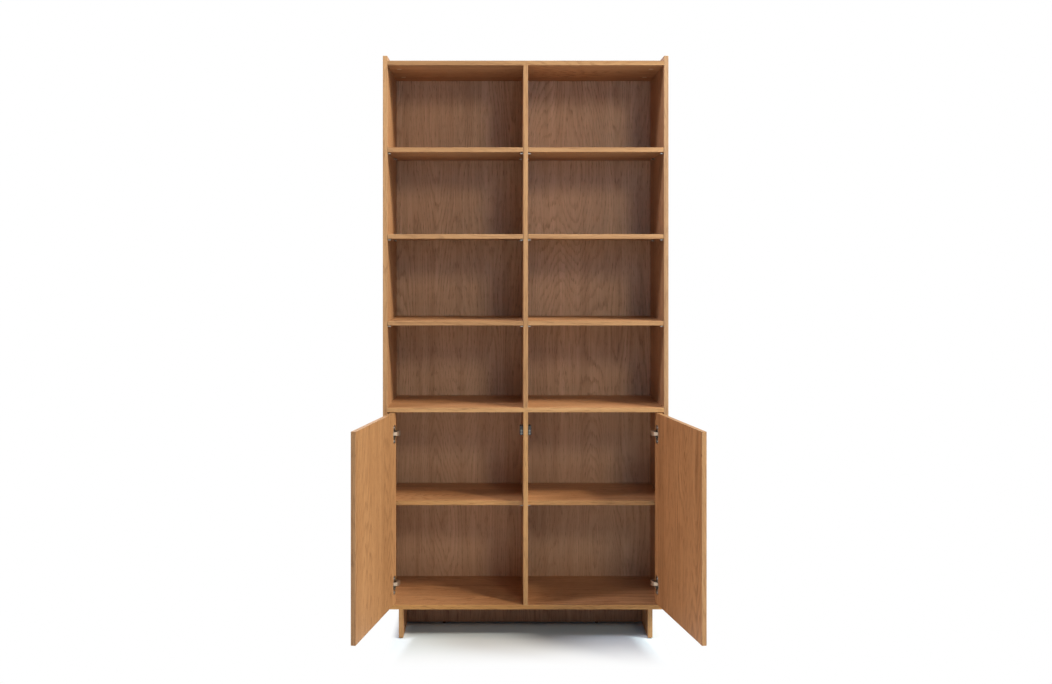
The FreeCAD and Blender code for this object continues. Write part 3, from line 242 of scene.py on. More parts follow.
class BookcaseFinish(bpy.types.PropertyGroup):
    """Colours and grain of the boards and the metal parts."""

    oak: bpy.props.FloatVectorProperty(
        name="Oak", description="Mean colour of the veneer", subtype="COLOR", size=4,
        min=0, max=1, default=linear(177, 131, 90))
    band_gain: bpy.props.FloatVectorProperty(
        name="Edge band gain", description="Colour of the edge bands against that of the faces",
        size=3, min=0, max=2, default=(0.92, 0.95, 0.89))
    # Partly painted light: the back panels are paler and bluer than the carcass oak to stand in for the
    # haze in the shaded bays
    back_oak_and_painted_haze: bpy.props.FloatVectorProperty(
        name="Back oak", description="Mean colour of the back panels", subtype="COLOR", size=4,
        min=0, max=1, default=linear(204, 162, 125))
    door_gain: bpy.props.FloatVectorProperty(
        name="Door gain", description="Colour of the door veneer against that of the carcass",
        size=3, min=0, max=2, default=(0.935, 0.905, 0.825))
    # Partly painted light and shade: the leaves are one veneer, and this gain stands in for the different
    # light on the right leaf as well as its own tone
    right_door_tone_and_shade: bpy.props.FloatVectorProperty(
        name="Right door gain", description="Colour of the right leaf against that of the left one",
        size=3, min=0, max=2, default=(1.08, 0.975, 0.89))
    contrast: bpy.props.FloatProperty(
        name="Grain contrast", description="How far the grain is from the mean colour",
        subtype="FACTOR", min=0, max=1, default=0.30)
    figure: bpy.props.FloatProperty(
        name="Figure", description="Strength of the growth rings in the veneer", subtype="FACTOR",
        min=0, max=1, default=0.8)
    pores: bpy.props.FloatProperty(
        name="Pores", description="Strength of the short dark pores", subtype="FACTOR",
        min=0, max=1, default=0.6)
    veneer_roughness: bpy.props.FloatProperty(
        name="Veneer roughness", description="Roughness of the lacquered veneer", subtype="FACTOR",
        min=0, max=1, default=0.50)
    nickel: bpy.props.FloatVectorProperty(
        name="Nickel", description="Colour of the hinges", subtype="COLOR", size=4,
        min=0, max=1, default=linear(188, 184, 176))
    zinc: bpy.props.FloatVectorProperty(
        name="Zinc", description="Colour of screws and cams", subtype="COLOR", size=4,
        min=0, max=1, default=linear(160, 161, 160))


class BookcaseStage(bpy.types.PropertyGroup):
    """Camera, lamps and floor."""

    eye_height: bpy.props.FloatProperty(
        name="Eye height", description="Height of the camera above the floor", subtype="DISTANCE",
        unit="LENGTH", default=1.337)
    eye_distance: bpy.props.FloatProperty(
        name="Eye distance", description="From the camera to the front edges of the carcass",
        subtype="DISTANCE", unit="LENGTH", default=4.121)
    eye_offset: bpy.props.FloatProperty(
        name="Eye offset", description="How far the camera stands left of the carcass's middle",
        subtype="DISTANCE", unit="LENGTH", default=0.0898)
    focal_pixels: bpy.props.FloatProperty(
        name="Focal length in pixels", description="Focal length for the full image width",
        default=1177.6)
    axis_x: bpy.props.FloatProperty(
        name="Axis x", description="Where the camera's axis meets the image, from the left",
        default=500.0)
    axis_y: bpy.props.FloatProperty(
        name="Axis y", description="Where the camera's axis meets the image, from the top",
        default=256.6)
    floor_colour: bpy.props.FloatVectorProperty(
        name="Floor", description="Colour of the floor", subtype="COLOR", size=4,
        min=0, max=1, default=(0.79, 0.92, 1.0, 1.0))
    floor_bounce: bpy.props.FloatVectorProperty(
        name="Floor bounce", description="Colour of the floor for scattered light",
        subtype="COLOR", size=4, min=0, max=1, default=(0.74, 0.76, 0.77, 1.0))
    # Painted shade under the base, on top of the cast shadow
    floor_painted_shade: bpy.props.FloatVectorProperty(
        name="Floor beneath", description="Colour of the floor in the shadow under the base",
        subtype="COLOR", size=4, min=0, max=1, default=(0.50, 0.61, 0.67, 1.0))
    shadow_half_width: bpy.props.FloatProperty(
        name="Shadow half width", description="How far the shadow is kept to each side",
        subtype="DISTANCE", unit="LENGTH", default=0.44)
    shadow_front: bpy.props.FloatProperty(
        name="Shadow front", description="Depth from which the full shadow is kept",
        subtype="DISTANCE", unit="LENGTH", default=0.04)
    shadow_back: bpy.props.FloatProperty(
        name="Shadow back", description="Depth up to which the full shadow is kept",
        subtype="DISTANCE", unit="LENGTH", default=0.45)
    shadow_fade: bpy.props.FloatProperty(
        name="Shadow fade", description="Distance over which the shadow fades to white",
        subtype="DISTANCE", unit="LENGTH", default=0.32)
    ambient: bpy.props.FloatProperty(
        name="Ambient light", description="Strength of the even light from all round",
        min=0, default=0.10)
    ambient_colour: bpy.props.FloatVectorProperty(
        name="Ambient colour", description="Colour of the even light", subtype="COLOR",
        size=4, min=0, max=1, default=(0.55, 0.78, 1.0, 1.0))
    lamp_size: bpy.props.FloatProperty(
        name="Lamp size", description="Side of each square lamp", subtype="DISTANCE", unit="LENGTH",
        min=0.1, default=0.75)
    key_power: bpy.props.FloatProperty(
        name="Key", description="Power of the high lamp at the right", subtype="POWER",
        unit="POWER", min=0, default=166.0)
    right_power: bpy.props.FloatProperty(
        name="Right", description="Power of the nearer lamp at the right", subtype="POWER",
        unit="POWER", min=0, default=110.0)
    left_power: bpy.props.FloatProperty(
        name="Left", description="Power of the lamp at the left", subtype="POWER",
        unit="POWER", min=0, default=92.0)
    front_power: bpy.props.FloatProperty(
        name="Front", description="Power of the lamp above the camera", subtype="POWER",
        unit="POWER", min=0, default=37.0)
    fill_power: bpy.props.FloatProperty(
        name="Fill", description="Power of the low cool lamp in front", subtype="POWER",
        unit="POWER", min=0, default=6.5)
    top_power: bpy.props.FloatProperty(
        name="Top", description="Power of the lamp above the bookcase", subtype="POWER",
        unit="POWER", min=0, default=22.0)
    rear_power: bpy.props.FloatProperty(
        name="Rear", description="Power of the lamp behind the bookcase", subtype="POWER",
        unit="POWER", min=0, default=74.0)


# Node helpers

def add_node(tree, kind, **settings):
    """Adds a node and sets its attributes."""
    made = tree.nodes.new(kind)
    for key, value in settings.items():
        setattr(made, key, value)
    return made


def feed(tree, socket, value):
    """Links a socket to another one, or sets its value."""
    if isinstance(value, bpy.types.NodeSocket):
        tree.links.new(value, socket)
    else:
        socket.default_value = value


def calc(tree, operation, *values, clamp=False):
    """Adds a maths node and returns its result."""
    made = add_node(tree, "ShaderNodeMath", operation=operation, use_clamp=clamp)
    for socket, value in zip(made.inputs, values):
        feed(tree, socket, value)
    return made.outputs[0]


def vector_calc(tree, operation, *values):
    """Adds a vector maths node and returns its result."""
    made = add_node(tree, "ShaderNodeVectorMath", operation=operation)
    for socket, value in zip(made.inputs, values):
        feed(tree, socket, value)
    return made.outputs[0]


def scaled_noise(tree, vector, stretch, detail, roughness):
    """Returns a smooth noise over coordinates that are first stretched."""
    stretched = vector_calc(tree, "MULTIPLY", vector, stretch)
    made = add_node(tree, "ShaderNodeTexNoise")
    feed(tree, made.inputs["Vector"], stretched)
    made.inputs["Scale"].default_value = 1.0
    made.inputs["Detail"].default_value = detail
    made.inputs["Roughness"].default_value = roughness
    return made.outputs["Fac"]


def ease(tree, value, start, end, low=0.0, high=1.0):
    """Returns a value eased from low at start to high at end."""
    made = add_node(tree, "ShaderNodeMapRange", interpolation_type="SMOOTHSTEP", clamp=True)
    items = (("Value", value), ("From Min", start), ("From Max", end), ("To Min", low), ("To Max", high))
    for name, item in items:
        feed(tree, made.inputs[name], item)
    return made.outputs["Result"]


def split(tree, vector):
    """Returns the three parts of a vector."""
    made = add_node(tree, "ShaderNodeSeparateXYZ")
    feed(tree, made.inputs[0], vector)
    return made.outputs


def mix_colours(tree, factor, first, second, blend="MIX"):
    """Returns a mix of two colours."""
    made = add_node(tree, "ShaderNodeMix", data_type="RGBA", blend_type=blend)
    feed(tree, made.inputs[0], factor)
    feed(tree, made.inputs[6], first)
    feed(tree, made.inputs[7], second)
    return made.outputs[2]


def mix_vectors(tree, factor, first, second):
    """Returns a mix of two vectors."""
    made = add_node(tree, "ShaderNodeMix", data_type="VECTOR")
    feed(tree, made.inputs[0], factor)
    feed(tree, made.inputs[4], first)
    feed(tree, made.inputs[5], second)
    return made.outputs[1]


def new_group(name, takes, gives):
    """Starts a node group and returns its tree, its input sockets by name and its output node."""
    tree = bpy.data.node_groups.new(name, "ShaderNodeTree")
    for label, kind in takes:
        tree.interface.new_socket(name=label, in_out="INPUT", socket_type=kind)
    for label, kind in gives:
        tree.interface.new_socket(name=label, in_out="OUTPUT", socket_type=kind)
    entry = add_node(tree, "NodeGroupInput")
    leave = add_node(tree, "NodeGroupOutput")
    return tree, entry.outputs, leave.inputs


# Shared effects

def veneer_group():
    """Builds the grain of a board's veneer, along Z: rings, strands, streaks, fibres and pores."""
    name = "veneer grain"
    if name in bpy.data.node_groups:
        return bpy.data.node_groups[name]
    takes = (
        ("Vector", "NodeSocketVector"), ("Seed", "NodeSocketFloat"), ("Mean Colour", "NodeSocketColor"),
        ("Contrast", "NodeSocketFloat"), ("Figure", "NodeSocketFloat"), ("Pores", "NodeSocketFloat"),
    )
    gives = (
        ("Colour", "NodeSocketColor"), ("Pore Mask", "NodeSocketFloat"), ("Height", "NodeSocketFloat"),
    )
    tree, entry, leave = new_group(name, takes, gives)
    shift = vector_calc(tree, "SCALE", SEED_SHIFT)
    feed(tree, tree.nodes[-1].inputs["Scale"], entry["Seed"])
    place = vector_calc(tree, "ADD", entry["Vector"], shift)
    swell = calc(tree, "MULTIPLY", scaled_noise(tree, place, *SWELL_NOISE), RINGS_PER_SWELL)
    waver = calc(tree, "MULTIPLY", scaled_noise(tree, place, *WAVER_NOISE), RINGS_PER_WAVER)
    saw = calc(tree, "FRACT", calc(tree, "ADD", swell, waver))
    ring = calc(tree, "MULTIPLY", ease(tree, saw, *RING_RISE), ease(tree, saw, *RING_FALL))
    strength = ease(tree, scaled_noise(tree, place, *STRENGTH_NOISE), *RING_STRENGTH)
    streak = scaled_noise(tree, place, *STREAK_NOISE)
    strand = scaled_noise(tree, place, *STRAND_NOISE)
    line = ease(tree, scaled_noise(tree, place, *LINE_NOISE), *LINE_RANGE)
    cloud = scaled_noise(tree, place, *CLOUD_NOISE)
    fibre = scaled_noise(tree, place, *FIBRE_NOISE)
    vessel = scaled_noise(tree, place, *VESSEL_NOISE)
    grouped = calc(tree, "MULTIPLY_ADD", ring, PORE_START_IN_RING, PORE_START)
    pore = ease(tree, vessel, grouped, calc(tree, "ADD", grouped, PORE_SOFTNESS))
    pore = calc(tree, "MULTIPLY", pore, entry["Pores"])
    figure = calc(tree, "MULTIPLY", calc(tree, "SUBTRACT", ring, RING_MEAN), entry["Figure"])
    tone = calc(tree, "MULTIPLY", figure, strength)
    shares = ((streak, STREAK_SHARE), (strand, STRAND_SHARE), (cloud, CLOUD_SHARE), (fibre, FIBRE_SHARE))
    for part, share in shares:
        tone = calc(tree, "MULTIPLY_ADD", calc(tree, "SUBTRACT", part, NOISE_MEAN), share, tone)
    tone = calc(tree, "MULTIPLY_ADD", line, LINE_SHARE, tone)
    tone = calc(tree, "MULTIPLY", tone, entry["Contrast"])
    darker = calc(tree, "SUBTRACT", 1.0, tone)
    red_gain = calc(tree, "POWER", darker, RED_POWER)
    blue_gain = calc(tree, "POWER", darker, BLUE_POWER)
    gain = add_node(tree, "ShaderNodeCombineXYZ")
    feed(tree, gain.inputs[0], red_gain)
    feed(tree, gain.inputs[1], darker)
    feed(tree, gain.inputs[2], blue_gain)
    wood = mix_colours(tree, 1.0, entry["Mean Colour"], gain.outputs[0], "MULTIPLY")
    in_pore = mix_colours(tree, 1.0, wood, PORE_COLOUR, "MULTIPLY")
    feed(tree, leave["Colour"], mix_colours(tree, pore, wood, in_pore))
    feed(tree, leave["Pore Mask"], pore)
    depth = calc(tree, "MULTIPLY_ADD", pore, PORE_HEIGHT, calc(tree, "MULTIPLY", fibre, FIBRE_HEIGHT))
    feed(tree, leave["Height"], calc(tree, "MULTIPLY_ADD", ring, RING_HEIGHT, depth))
    return tree


def arris_group():
    """Builds masks for a board: its arrises, which get a painted highlight, its edge bands and the thin
    seams beside them.
    """
    name = "board arrises"
    if name in bpy.data.node_groups:
        return bpy.data.node_groups[name]
    takes = (
        ("Vector", "NodeSocketVector"), ("Low Corner", "NodeSocketVector"),
        ("High Corner", "NodeSocketVector"), ("Thin Axis", "NodeSocketVector"),
        ("Width", "NodeSocketFloat"), ("Band", "NodeSocketFloat"),
    )
    gives = (("Edge", "NodeSocketFloat"), ("Band", "NodeSocketFloat"), ("Seam", "NodeSocketFloat"))
    tree, entry, leave = new_group(name, takes, gives)
    from_low = vector_calc(tree, "SUBTRACT", entry["Vector"], entry["Low Corner"])
    from_high = vector_calc(tree, "SUBTRACT", entry["High Corner"], entry["Vector"])
    nearest = vector_calc(tree, "MINIMUM", from_low, from_high)
    a, b, c = split(tree, nearest)
    low_pair = calc(tree, "MINIMUM", a, b)
    high_pair = calc(tree, "MAXIMUM", a, b)
    middle = calc(tree, "MAXIMUM", low_pair, calc(tree, "MINIMUM", high_pair, c))
    feed(tree, leave["Edge"], ease(tree, middle, 0.0, entry["Width"], 1.0, 0.0))
    a, b, c = split(tree, vector_calc(tree, "ADD", nearest, entry["Thin Axis"]))
    rim = calc(tree, "MINIMUM", calc(tree, "MINIMUM", a, b), c)
    beyond = calc(tree, "SUBTRACT", rim, entry["Band"])
    feed(tree, leave["Band"], ease(tree, beyond, -BAND_BLUR, 0.0, 1.0, 0.0))
    beside = calc(tree, "ABSOLUTE", beyond)
    feed(tree, leave["Seam"], ease(tree, beside, SEAM_CORE, SEAM_REACH, 1.0, 0.0))
    return tree


def plated_group():
    """Builds the small unevenness of a plated or cast metal surface."""
    name = "plated metal"
    if name in bpy.data.node_groups:
        return bpy.data.node_groups[name]
    looks = (("Colour", "NodeSocketColor"), ("Roughness", "NodeSocketFloat"))
    takes = (("Vector", "NodeSocketVector"),) + looks
    gives = looks + (("Height", "NodeSocketFloat"),)
    tree, entry, leave = new_group(name, takes, gives)
    haze = scaled_noise(tree, entry["Vector"], *HAZE_NOISE)
    scratch = scaled_noise(tree, entry["Vector"], *SCRATCH_NOISE)
    speck = scaled_noise(tree, entry["Vector"], *SPECK_NOISE)
    dull = mix_colours(tree, 1.0, entry["Colour"], HAZE_COLOUR, "MULTIPLY")
    hazy = mix_colours(tree, ease(tree, haze, *HAZE_RANGE), entry["Colour"], dull)
    feed(tree, leave["Colour"], hazy)
    uneven = calc(tree, "SUBTRACT", haze, NOISE_MEAN)
    rough = calc(tree, "MULTIPLY_ADD", uneven, HAZE_ROUGHNESS, entry["Roughness"])
    uneven = calc(tree, "SUBTRACT", scratch, NOISE_MEAN)
    rough = calc(tree, "MULTIPLY_ADD", uneven, SCRATCH_ROUGHNESS, rough, clamp=True)
    feed(tree, leave["Roughness"], rough)
    feed(tree, leave["Height"], calc(tree, "MULTIPLY_ADD", speck, SPECK_HEIGHT, scratch))
    return tree


# Materials

def start_material(name):
    """Starts a material and returns its tree and its surface shader."""
    made = bpy.data.materials.new(name)
    made.use_nodes = True
    tree = made.node_tree
    surface = tree.nodes["Principled BSDF"]
    return made, tree, surface


def turned_place(tree, place, turn, shift=(0.0, 0.0, 0.0)):
    """Returns coordinates turned by three angles and then moved."""
    mapping = add_node(tree, "ShaderNodeMapping", vector_type="POINT")
    feed(tree, mapping.inputs["Vector"], place)
    mapping.inputs["Rotation"].default_value = turn
    mapping.inputs["Location"].default_value = shift
    return mapping.outputs["Vector"]


def object_place(tree, matrix=None):
    """Returns object coordinates, brought into a board's own frame where a matrix is given."""
    place = add_node(tree, "ShaderNodeTexCoord").outputs["Object"]
    if matrix is None:
        return place
    return turned_place(tree, place, matrix.to_euler(), matrix.to_translation())


def bump_from(tree, surface, height, strength, distance):
    """Feeds a height into a shader's normal."""
    bump = add_node(tree, "ShaderNodeBump")
    bump.inputs["Strength"].default_value = strength
    bump.inputs["Distance"].default_value = distance
    feed(tree, bump.inputs["Height"], height)
    feed(tree, surface.inputs["Normal"], bump.outputs["Normal"])


def board_material(
        name, low, high, along, colour, seed, settings,
        figure=1.0, contrast=1.0, pores=1.0, duller=0.0, band=None, matrix=None):
    """Makes the veneer of one board, with its grain along X or Z and a painted highlight on its arrises.
    """
    made, tree, surface = start_material(name)
    place = object_place(tree, matrix)
    grain_place = place
    if along == "X":
        grain_place = turned_place(tree, place, X_TO_Z)
    if along == "Z":
        normal = add_node(tree, "ShaderNodeNewGeometry").outputs["True Normal"]
        upward = calc(tree, "ABSOLUTE", split(tree, normal)[2])
        is_end = calc(tree, "GREATER_THAN", upward, END_FACE_TURN)
        deeper = high.y - low.y > high.x - low.x
        grain_place = mix_vectors(
            tree, is_end, place, turned_place(tree, place, Y_TO_Z if deeper else X_TO_Z))
    grain = add_node(tree, "ShaderNodeGroup", node_tree=veneer_group())
    feed(tree, grain.inputs["Vector"], grain_place)
    grain.inputs["Seed"].default_value = seed
    grain.inputs["Mean Colour"].default_value = colour
    grain.inputs["Contrast"].default_value = settings.contrast * contrast
    grain.inputs["Pores"].default_value = settings.pores * pores
    arris = add_node(tree, "ShaderNodeGroup", node_tree=arris_group())
    feed(tree, arris.inputs["Vector"], place)
    arris.inputs["Low Corner"].default_value = low
    arris.inputs["High Corner"].default_value = high
    size = high - low
    thin = min(range(3), key=lambda axis: size[axis])
    arris.inputs["Thin Axis"].default_value = [1.0 if axis == thin else 0.0 for axis in range(3)]
    arris.inputs["Width"].default_value = EDGE_HIGHLIGHT_WIDTH
    arris.inputs["Band"].default_value = BAND_THICKNESS
    figure = settings.figure * figure
    figure = ease(tree, arris.outputs["Band"], 0.0, 1.0, figure, BAND_FIGURE * figure)
    feed(tree, grain.inputs["Figure"], figure)
    band_gain = tuple(band or settings.band_gain) + (1.0,)
    banded = mix_colours(tree, 1.0, grain.outputs["Colour"], band_gain, "MULTIPLY")
    banded = mix_colours(tree, arris.outputs["Band"], grain.outputs["Colour"], banded)
    # Painted highlight: the arrises are made lighter where light would catch their rounding
    lighter = mix_colours(tree, 1.0, banded, EDGE_HIGHLIGHT_COLOUR, "MULTIPLY")
    highlighted = mix_colours(tree, arris.outputs["Edge"], banded, lighter)
    seam_colour = mix_colours(tree, 1.0, highlighted, SEAM_COLOUR, "MULTIPLY")
    feed(tree, surface.inputs["Base Color"], mix_colours(tree, arris.outputs["Seam"], highlighted, seam_colour))
    rough = settings.veneer_roughness + duller
    rough = calc(tree, "MULTIPLY_ADD", grain.outputs["Pore Mask"], PORE_ROUGHNESS, rough)
    rough = calc(tree, "MULTIPLY_ADD", arris.outputs["Edge"], EDGE_ROUGHNESS, rough)
    feed(tree, surface.inputs["Roughness"], rough)
    surface.inputs["Specular IOR Level"].default_value = VENEER_SPECULAR
    height = calc(tree, "MULTIPLY_ADD", arris.outputs["Seam"], SEAM_HEIGHT, grain.outputs["Height"])
    bump_from(tree, surface, height, VENEER_BUMP, VENEER_BUMP_DEPTH)
    return made


def metal_material(name, colour, roughness, metallic=1.0):
    """Makes a plated, cast or painted metal."""
    made, tree, surface = start_material(name)
    plated = add_node(tree, "ShaderNodeGroup", node_tree=plated_group())
    feed(tree, plated.inputs["Vector"], object_place(tree))
    plated.inputs["Colour"].default_value = colour
    plated.inputs["Roughness"].default_value = roughness
    feed(tree, surface.inputs["Base Color"], plated.outputs["Colour"])
    feed(tree, surface.inputs["Roughness"], plated.outputs["Roughness"])
    surface.inputs["Metallic"].default_value = metallic
    bump_from(tree, surface, plated.outputs["Height"], METAL_BUMP, METAL_BUMP_DEPTH)
    return made


def plastic_material(name, colour, roughness):
    """Makes a moulded plastic with a fine texture."""
    made, tree, surface = start_material(name)
    place = object_place(tree)
    texture = scaled_noise(tree, place, *MOULD_NOISE)
    cloud = scaled_noise(tree, place, *MOULD_CLOUD_NOISE)
    darker = mix_colours(tree, 1.0, colour, MOULD_COLOUR, "MULTIPLY")
    feed(tree, surface.inputs["Base Color"], mix_colours(tree, cloud, colour, darker))
    rough = calc(tree, "MULTIPLY_ADD", texture, MOULD_ROUGHNESS, roughness)
    feed(tree, surface.inputs["Roughness"], rough)
    bump_from(tree, surface, texture, MOULD_BUMP, MOULD_BUMP_DEPTH)
    return made


def dress(node, material):
    """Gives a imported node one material."""
    slots = frame["nodes"][node].data.materials
    slots.clear()
    slots.append(material)


def tinted(colour, gain):
    """Returns a colour with each channel raised or lowered."""
    return tuple(min(1.0, part * share) for part, share in zip(colour, gain)) + (1.0,)


def dress_boards(nodes, along, first_seed, settings):
    """Gives each of some boards its own veneer, with gains that are partly its tone and partly painted
    light and shade.
    """
    for number, node in enumerate(nodes):
        low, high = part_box(node)
        seed = first_seed + number * SEED_STEP
        # The board's gains hold painted light and shade as well as its own tone
        gain, band = BOARD_TONES_AND_PAINTED_LIGHT.get(node, (PLAIN, None))
        colour = tinted(settings.oak, gain)
        duller = DULLER_BOARDS.get(node, 0.0)
        dress(node, board_material(
            node + "_veneer", low, high, along, colour, seed, settings, duller=duller, band=band))


# Operators

class BOOKCASE_OT_carcass(bpy.types.Operator):
    """Veneers the sides, dividers, level panels and the base"""

    bl_idname = "bookcase.carcass"
    bl_label = "Carcass"

    def execute(self, context):
        settings = context.scene.bookcase_finish
        dress_boards(UPRIGHT_BOARDS, "Z", UPRIGHT_SEED, settings)
        dress_boards(LEVEL_BOARDS, "X", LEVEL_SEED, settings)
        dress_boards(LEG_BOARDS, "Z", LEG_SEED, settings)
        dress_boards(("base_stretcher",), "Z", STRETCHER_SEED, settings)
        return {"FINISHED"}


class BOOKCASE_OT_backs(bpy.types.Operator):
    """Veneers the thin back panels"""

    bl_idname = "bookcase.backs"
    bl_label = "Back panels"

    def execute(self, context):
        settings = context.scene.bookcase_finish
        for node, (contrast, pores, figure) in BACK_BOARDS.items():
            low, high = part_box(node)
            # The backs' colour holds painted light as a haze over the shaded bays
            made = board_material(
                node + "_veneer", low, high, "Z", tuple(settings.back_oak_and_painted_haze), BACK_SEED, settings,
                figure=figure, contrast=contrast, pores=pores)
            dress(node, made)
        return {"FINISHED"}


class BOOKCASE_OT_shelves(bpy.types.Operator):
    """Veneers the adjustable shelves and finishes their pins"""

    bl_idname = "bookcase.shelves"
    bl_label = "Shelves"

    def execute(self, context):
        settings = context.scene.bookcase_finish
        names = ["upper_shelf_%s_%d" % (side, number) for side in SIDES for number in (1, 2, 3)]
        names += ["lower_shelf_" + side for side in SIDES]
        dress_boards(names, "X", SHELF_SEED, settings)
        steel = metal_material("pin_steel", tuple(settings.nickel), PIN_ROUGHNESS)
        for side in SIDES:
            dress("upper_shelf_pins_" + side, steel)
            dress("lower_shelf_pins_" + side, steel)
        return {"FINISHED"}


class BOOKCASE_OT_doors(bpy.types.Operator):
    """Veneers the doors in their own frames, so that the grain stays true at every angle"""

    bl_idname = "bookcase.doors"
    bl_label = "Doors"

    def execute(self, context):
        settings = context.scene.bookcase_finish
        for number, side in enumerate(SIDES):
            node = "door_" + side
            to_closed = closing_matrix(side)
            low, high = closed_box(node, to_closed)
            seed = DOOR_SEED + number * DOOR_SEED_STEP
            colour = tinted(settings.oak, settings.door_gain)
            # The right leaf's gain is partly its tone and partly painted light and shade
            if side == "right":
                colour = tinted(colour, settings.right_door_tone_and_shade)
            shares = zip(settings.band_gain, settings.oak, colour)
            band = [gain * oak / part for gain, oak, part in shares]
            made = board_material(
                node + "_veneer", low, high, "Z", colour, seed, settings, band=band, matrix=to_closed)
            dress(node, made)
        return {"FINISHED"}


def closing_matrix(side):
    """Returns the turn about a door's pivot that brings it from rest to its closed place."""
    joint = next(item for item in frame["joints"] if item["name"] == side + "_door_hinge")
    pivot = Vector(joint["pos_m"])
    turn = Matrix.Rotation(math.radians(joint["range_deg"][1]), 4, Vector(joint["axis"]))
    return Matrix.Translation(pivot) @ turn @ Matrix.Translation(-pivot)


def closed_box(node, to_closed):
    """Returns the lowest and highest corners of a door's node in its closed place."""
    points = [to_closed @ vertex.co for vertex in frame["nodes"][node].data.vertices]
    low = Vector([min(point[axis] for point in points) for axis in range(3)])
    high = Vector([max(point[axis] for point in points) for axis in range(3)])
    return low, high


class BOOKCASE_OT_hinges(bpy.types.Operator):
    """Finishes the concealed hinges and their screws"""

    bl_idname = "bookcase.hinges"
    bl_label = "Hinges"

    def execute(self, context):
        settings = context.scene.bookcase_finish
        nickel = metal_material("hinge_nickel", tuple(settings.nickel), HINGE_ROUGHNESS)
        zinc = metal_material("screw_zinc", tuple(settings.zinc), SCREW_ROUGHNESS)
        satin = metal_material("hinge_arm_satin", *FINISHES["hinge_arm_satin"])
        for side in SIDES:
            dress("hinge_arms_" + side, satin)
            for part in ("hinge_cups_", "hinge_plates_", "hinge_pins_"):
                dress(part + side, nickel)
            for part in ("hinge_cup_screws_", "hinge_plate_screws_", "hinge_clamp_screws_"):
                dress(part + side, zinc)
        return {"FINISHED"}


class BOOKCASE_OT_catches(bpy.types.Operator):
    """Finishes the magnetic catches and their strike plates"""

    bl_idname = "bookcase.catches"
    bl_label = "Catches"

    def execute(self, context):
        housing = plastic_material("catch_black", *FINISHES["catch_black"])
        steel = metal_material("pole_steel", *FINISHES["pole_steel"])
        lacquer = metal_material(
            "strike_lacquer", *FINISHES["strike_lacquer"], metallic=LACQUER_METALLIC)
        for side in SIDES:
            dress("catch_" + side, housing)
            dress("strike_plate_" + side, lacquer)
            for part in ("catch_poles_", "catch_screws_"):
                dress(part + side, steel)
        return {"FINISHED"}


class BOOKCASE_OT_fittings(bpy.types.Operator):
    """Finishes cams, bolts, caps, dowels, screws and glides"""

    bl_idname = "bookcase.fittings"
    bl_label = "Fittings"

    def execute(self, context):
        settings = context.scene.bookcase_finish
        zinc = metal_material("cam_zinc", tuple(settings.zinc), CAM_ROUGHNESS)
        for node in ZINC_FITTINGS:
            dress(node, zinc)
        for node, finish in PLASTIC_FITTINGS:
            dress(node, plastic_material(finish, *FINISHES[finish]))
        low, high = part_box("dowels")
        dress("dowels", board_material("dowel_beech", low, high, "X", DOWEL_BEECH, DOWEL_SEED, settings))
        return {"FINISHED"}


class BOOKCASE_OT_stage(bpy.types.Operator):
    """Sets the floor, the light and the camera"""

    bl_idname = "bookcase.stage"
    bl_label = "Stage"

    def execute(self, context):
        settings = context.scene.bookcase_stage
        add_floor(settings)
        add_light(context, settings)
        add_camera(context, settings)
        context.scene.view_settings.view_transform = "Standard"
        return {"FINISHED"}


def add_floor(settings):
    """Lays a pale floor that holds the bookcase's shadow and is plain white further out; under the base
    it gets painted shade, and behind it a painted warm tint over the shade.
    """
    shape = bmesh.new()
    bmesh.ops.create_grid(shape, x_segments=1, y_segments=1, size=FLOOR_HALF_SIZE)
    mesh = bpy.data.meshes.new("floor")
    shape.to_mesh(mesh)
    shape.free()
    floor = bpy.data.objects.new("floor", mesh)
    bpy.context.scene.collection.objects.link(floor)
    made, tree, surface = start_material("floor_paint")
    place = object_place(tree)
    cloud = ease(tree, scaled_noise(tree, place, *FLOOR_CLOUD_NOISE), *FLOOR_CLOUD_RANGE)
    shade = mix_colours(tree, cloud, tuple(settings.floor_colour), FLOOR_CLOUD_COLOUR)
    across, depth, _ = split(tree, place)
    offset = calc(tree, "ABSOLUTE", across)
    # Painted light: a warm tint over the shade behind the bookcase
    shade = mix_colours(tree, ease(tree, depth, *BEHIND_DEPTHS), shade, FLOOR_BEHIND_PAINTED_TINT)
    # Painted shade: a darker floor colour under the base
    beneath = calc(
        tree, "MULTIPLY", ease(tree, depth, *PAINTED_SHADE_DEPTHS), ease(tree, offset, *PAINTED_SHADE_OFFSETS))
    shade = mix_colours(tree, beneath, shade, tuple(settings.floor_painted_shade))
    seen = seen_directly(tree)
    shade = mix_colours(tree, seen, tuple(settings.floor_bounce), shade)
    feed(tree, surface.inputs["Base Color"], shade)
    surface.inputs["Roughness"].default_value = FLOOR_ROUGHNESS
    surface.inputs["Specular IOR Level"].default_value = 0.0
    ahead = calc(tree, "SUBTRACT", settings.shadow_front, depth)
    behind = calc(tree, "SUBTRACT", depth, settings.shadow_back)
    along_depth = ease(tree, calc(tree, "MAXIMUM", ahead, behind), 0.0, settings.shadow_fade)
    half_width = settings.shadow_half_width
    across_width = ease(tree, offset, half_width, half_width + SHADOW_SIDE_FADE)
    plain = calc(tree, "MULTIPLY", calc(tree, "MAXIMUM", along_depth, across_width), seen)
    white = add_node(tree, "ShaderNodeEmission")
    mixed = add_node(tree, "ShaderNodeMixShader")
    feed(tree, mixed.inputs[0], plain)
    tree.links.new(surface.outputs[0], mixed.inputs[1])
    tree.links.new(white.outputs[0], mixed.inputs[2])
    tree.links.new(mixed.outputs[0], tree.nodes["Material Output"].inputs["Surface"])
    mesh.materials.append(made)


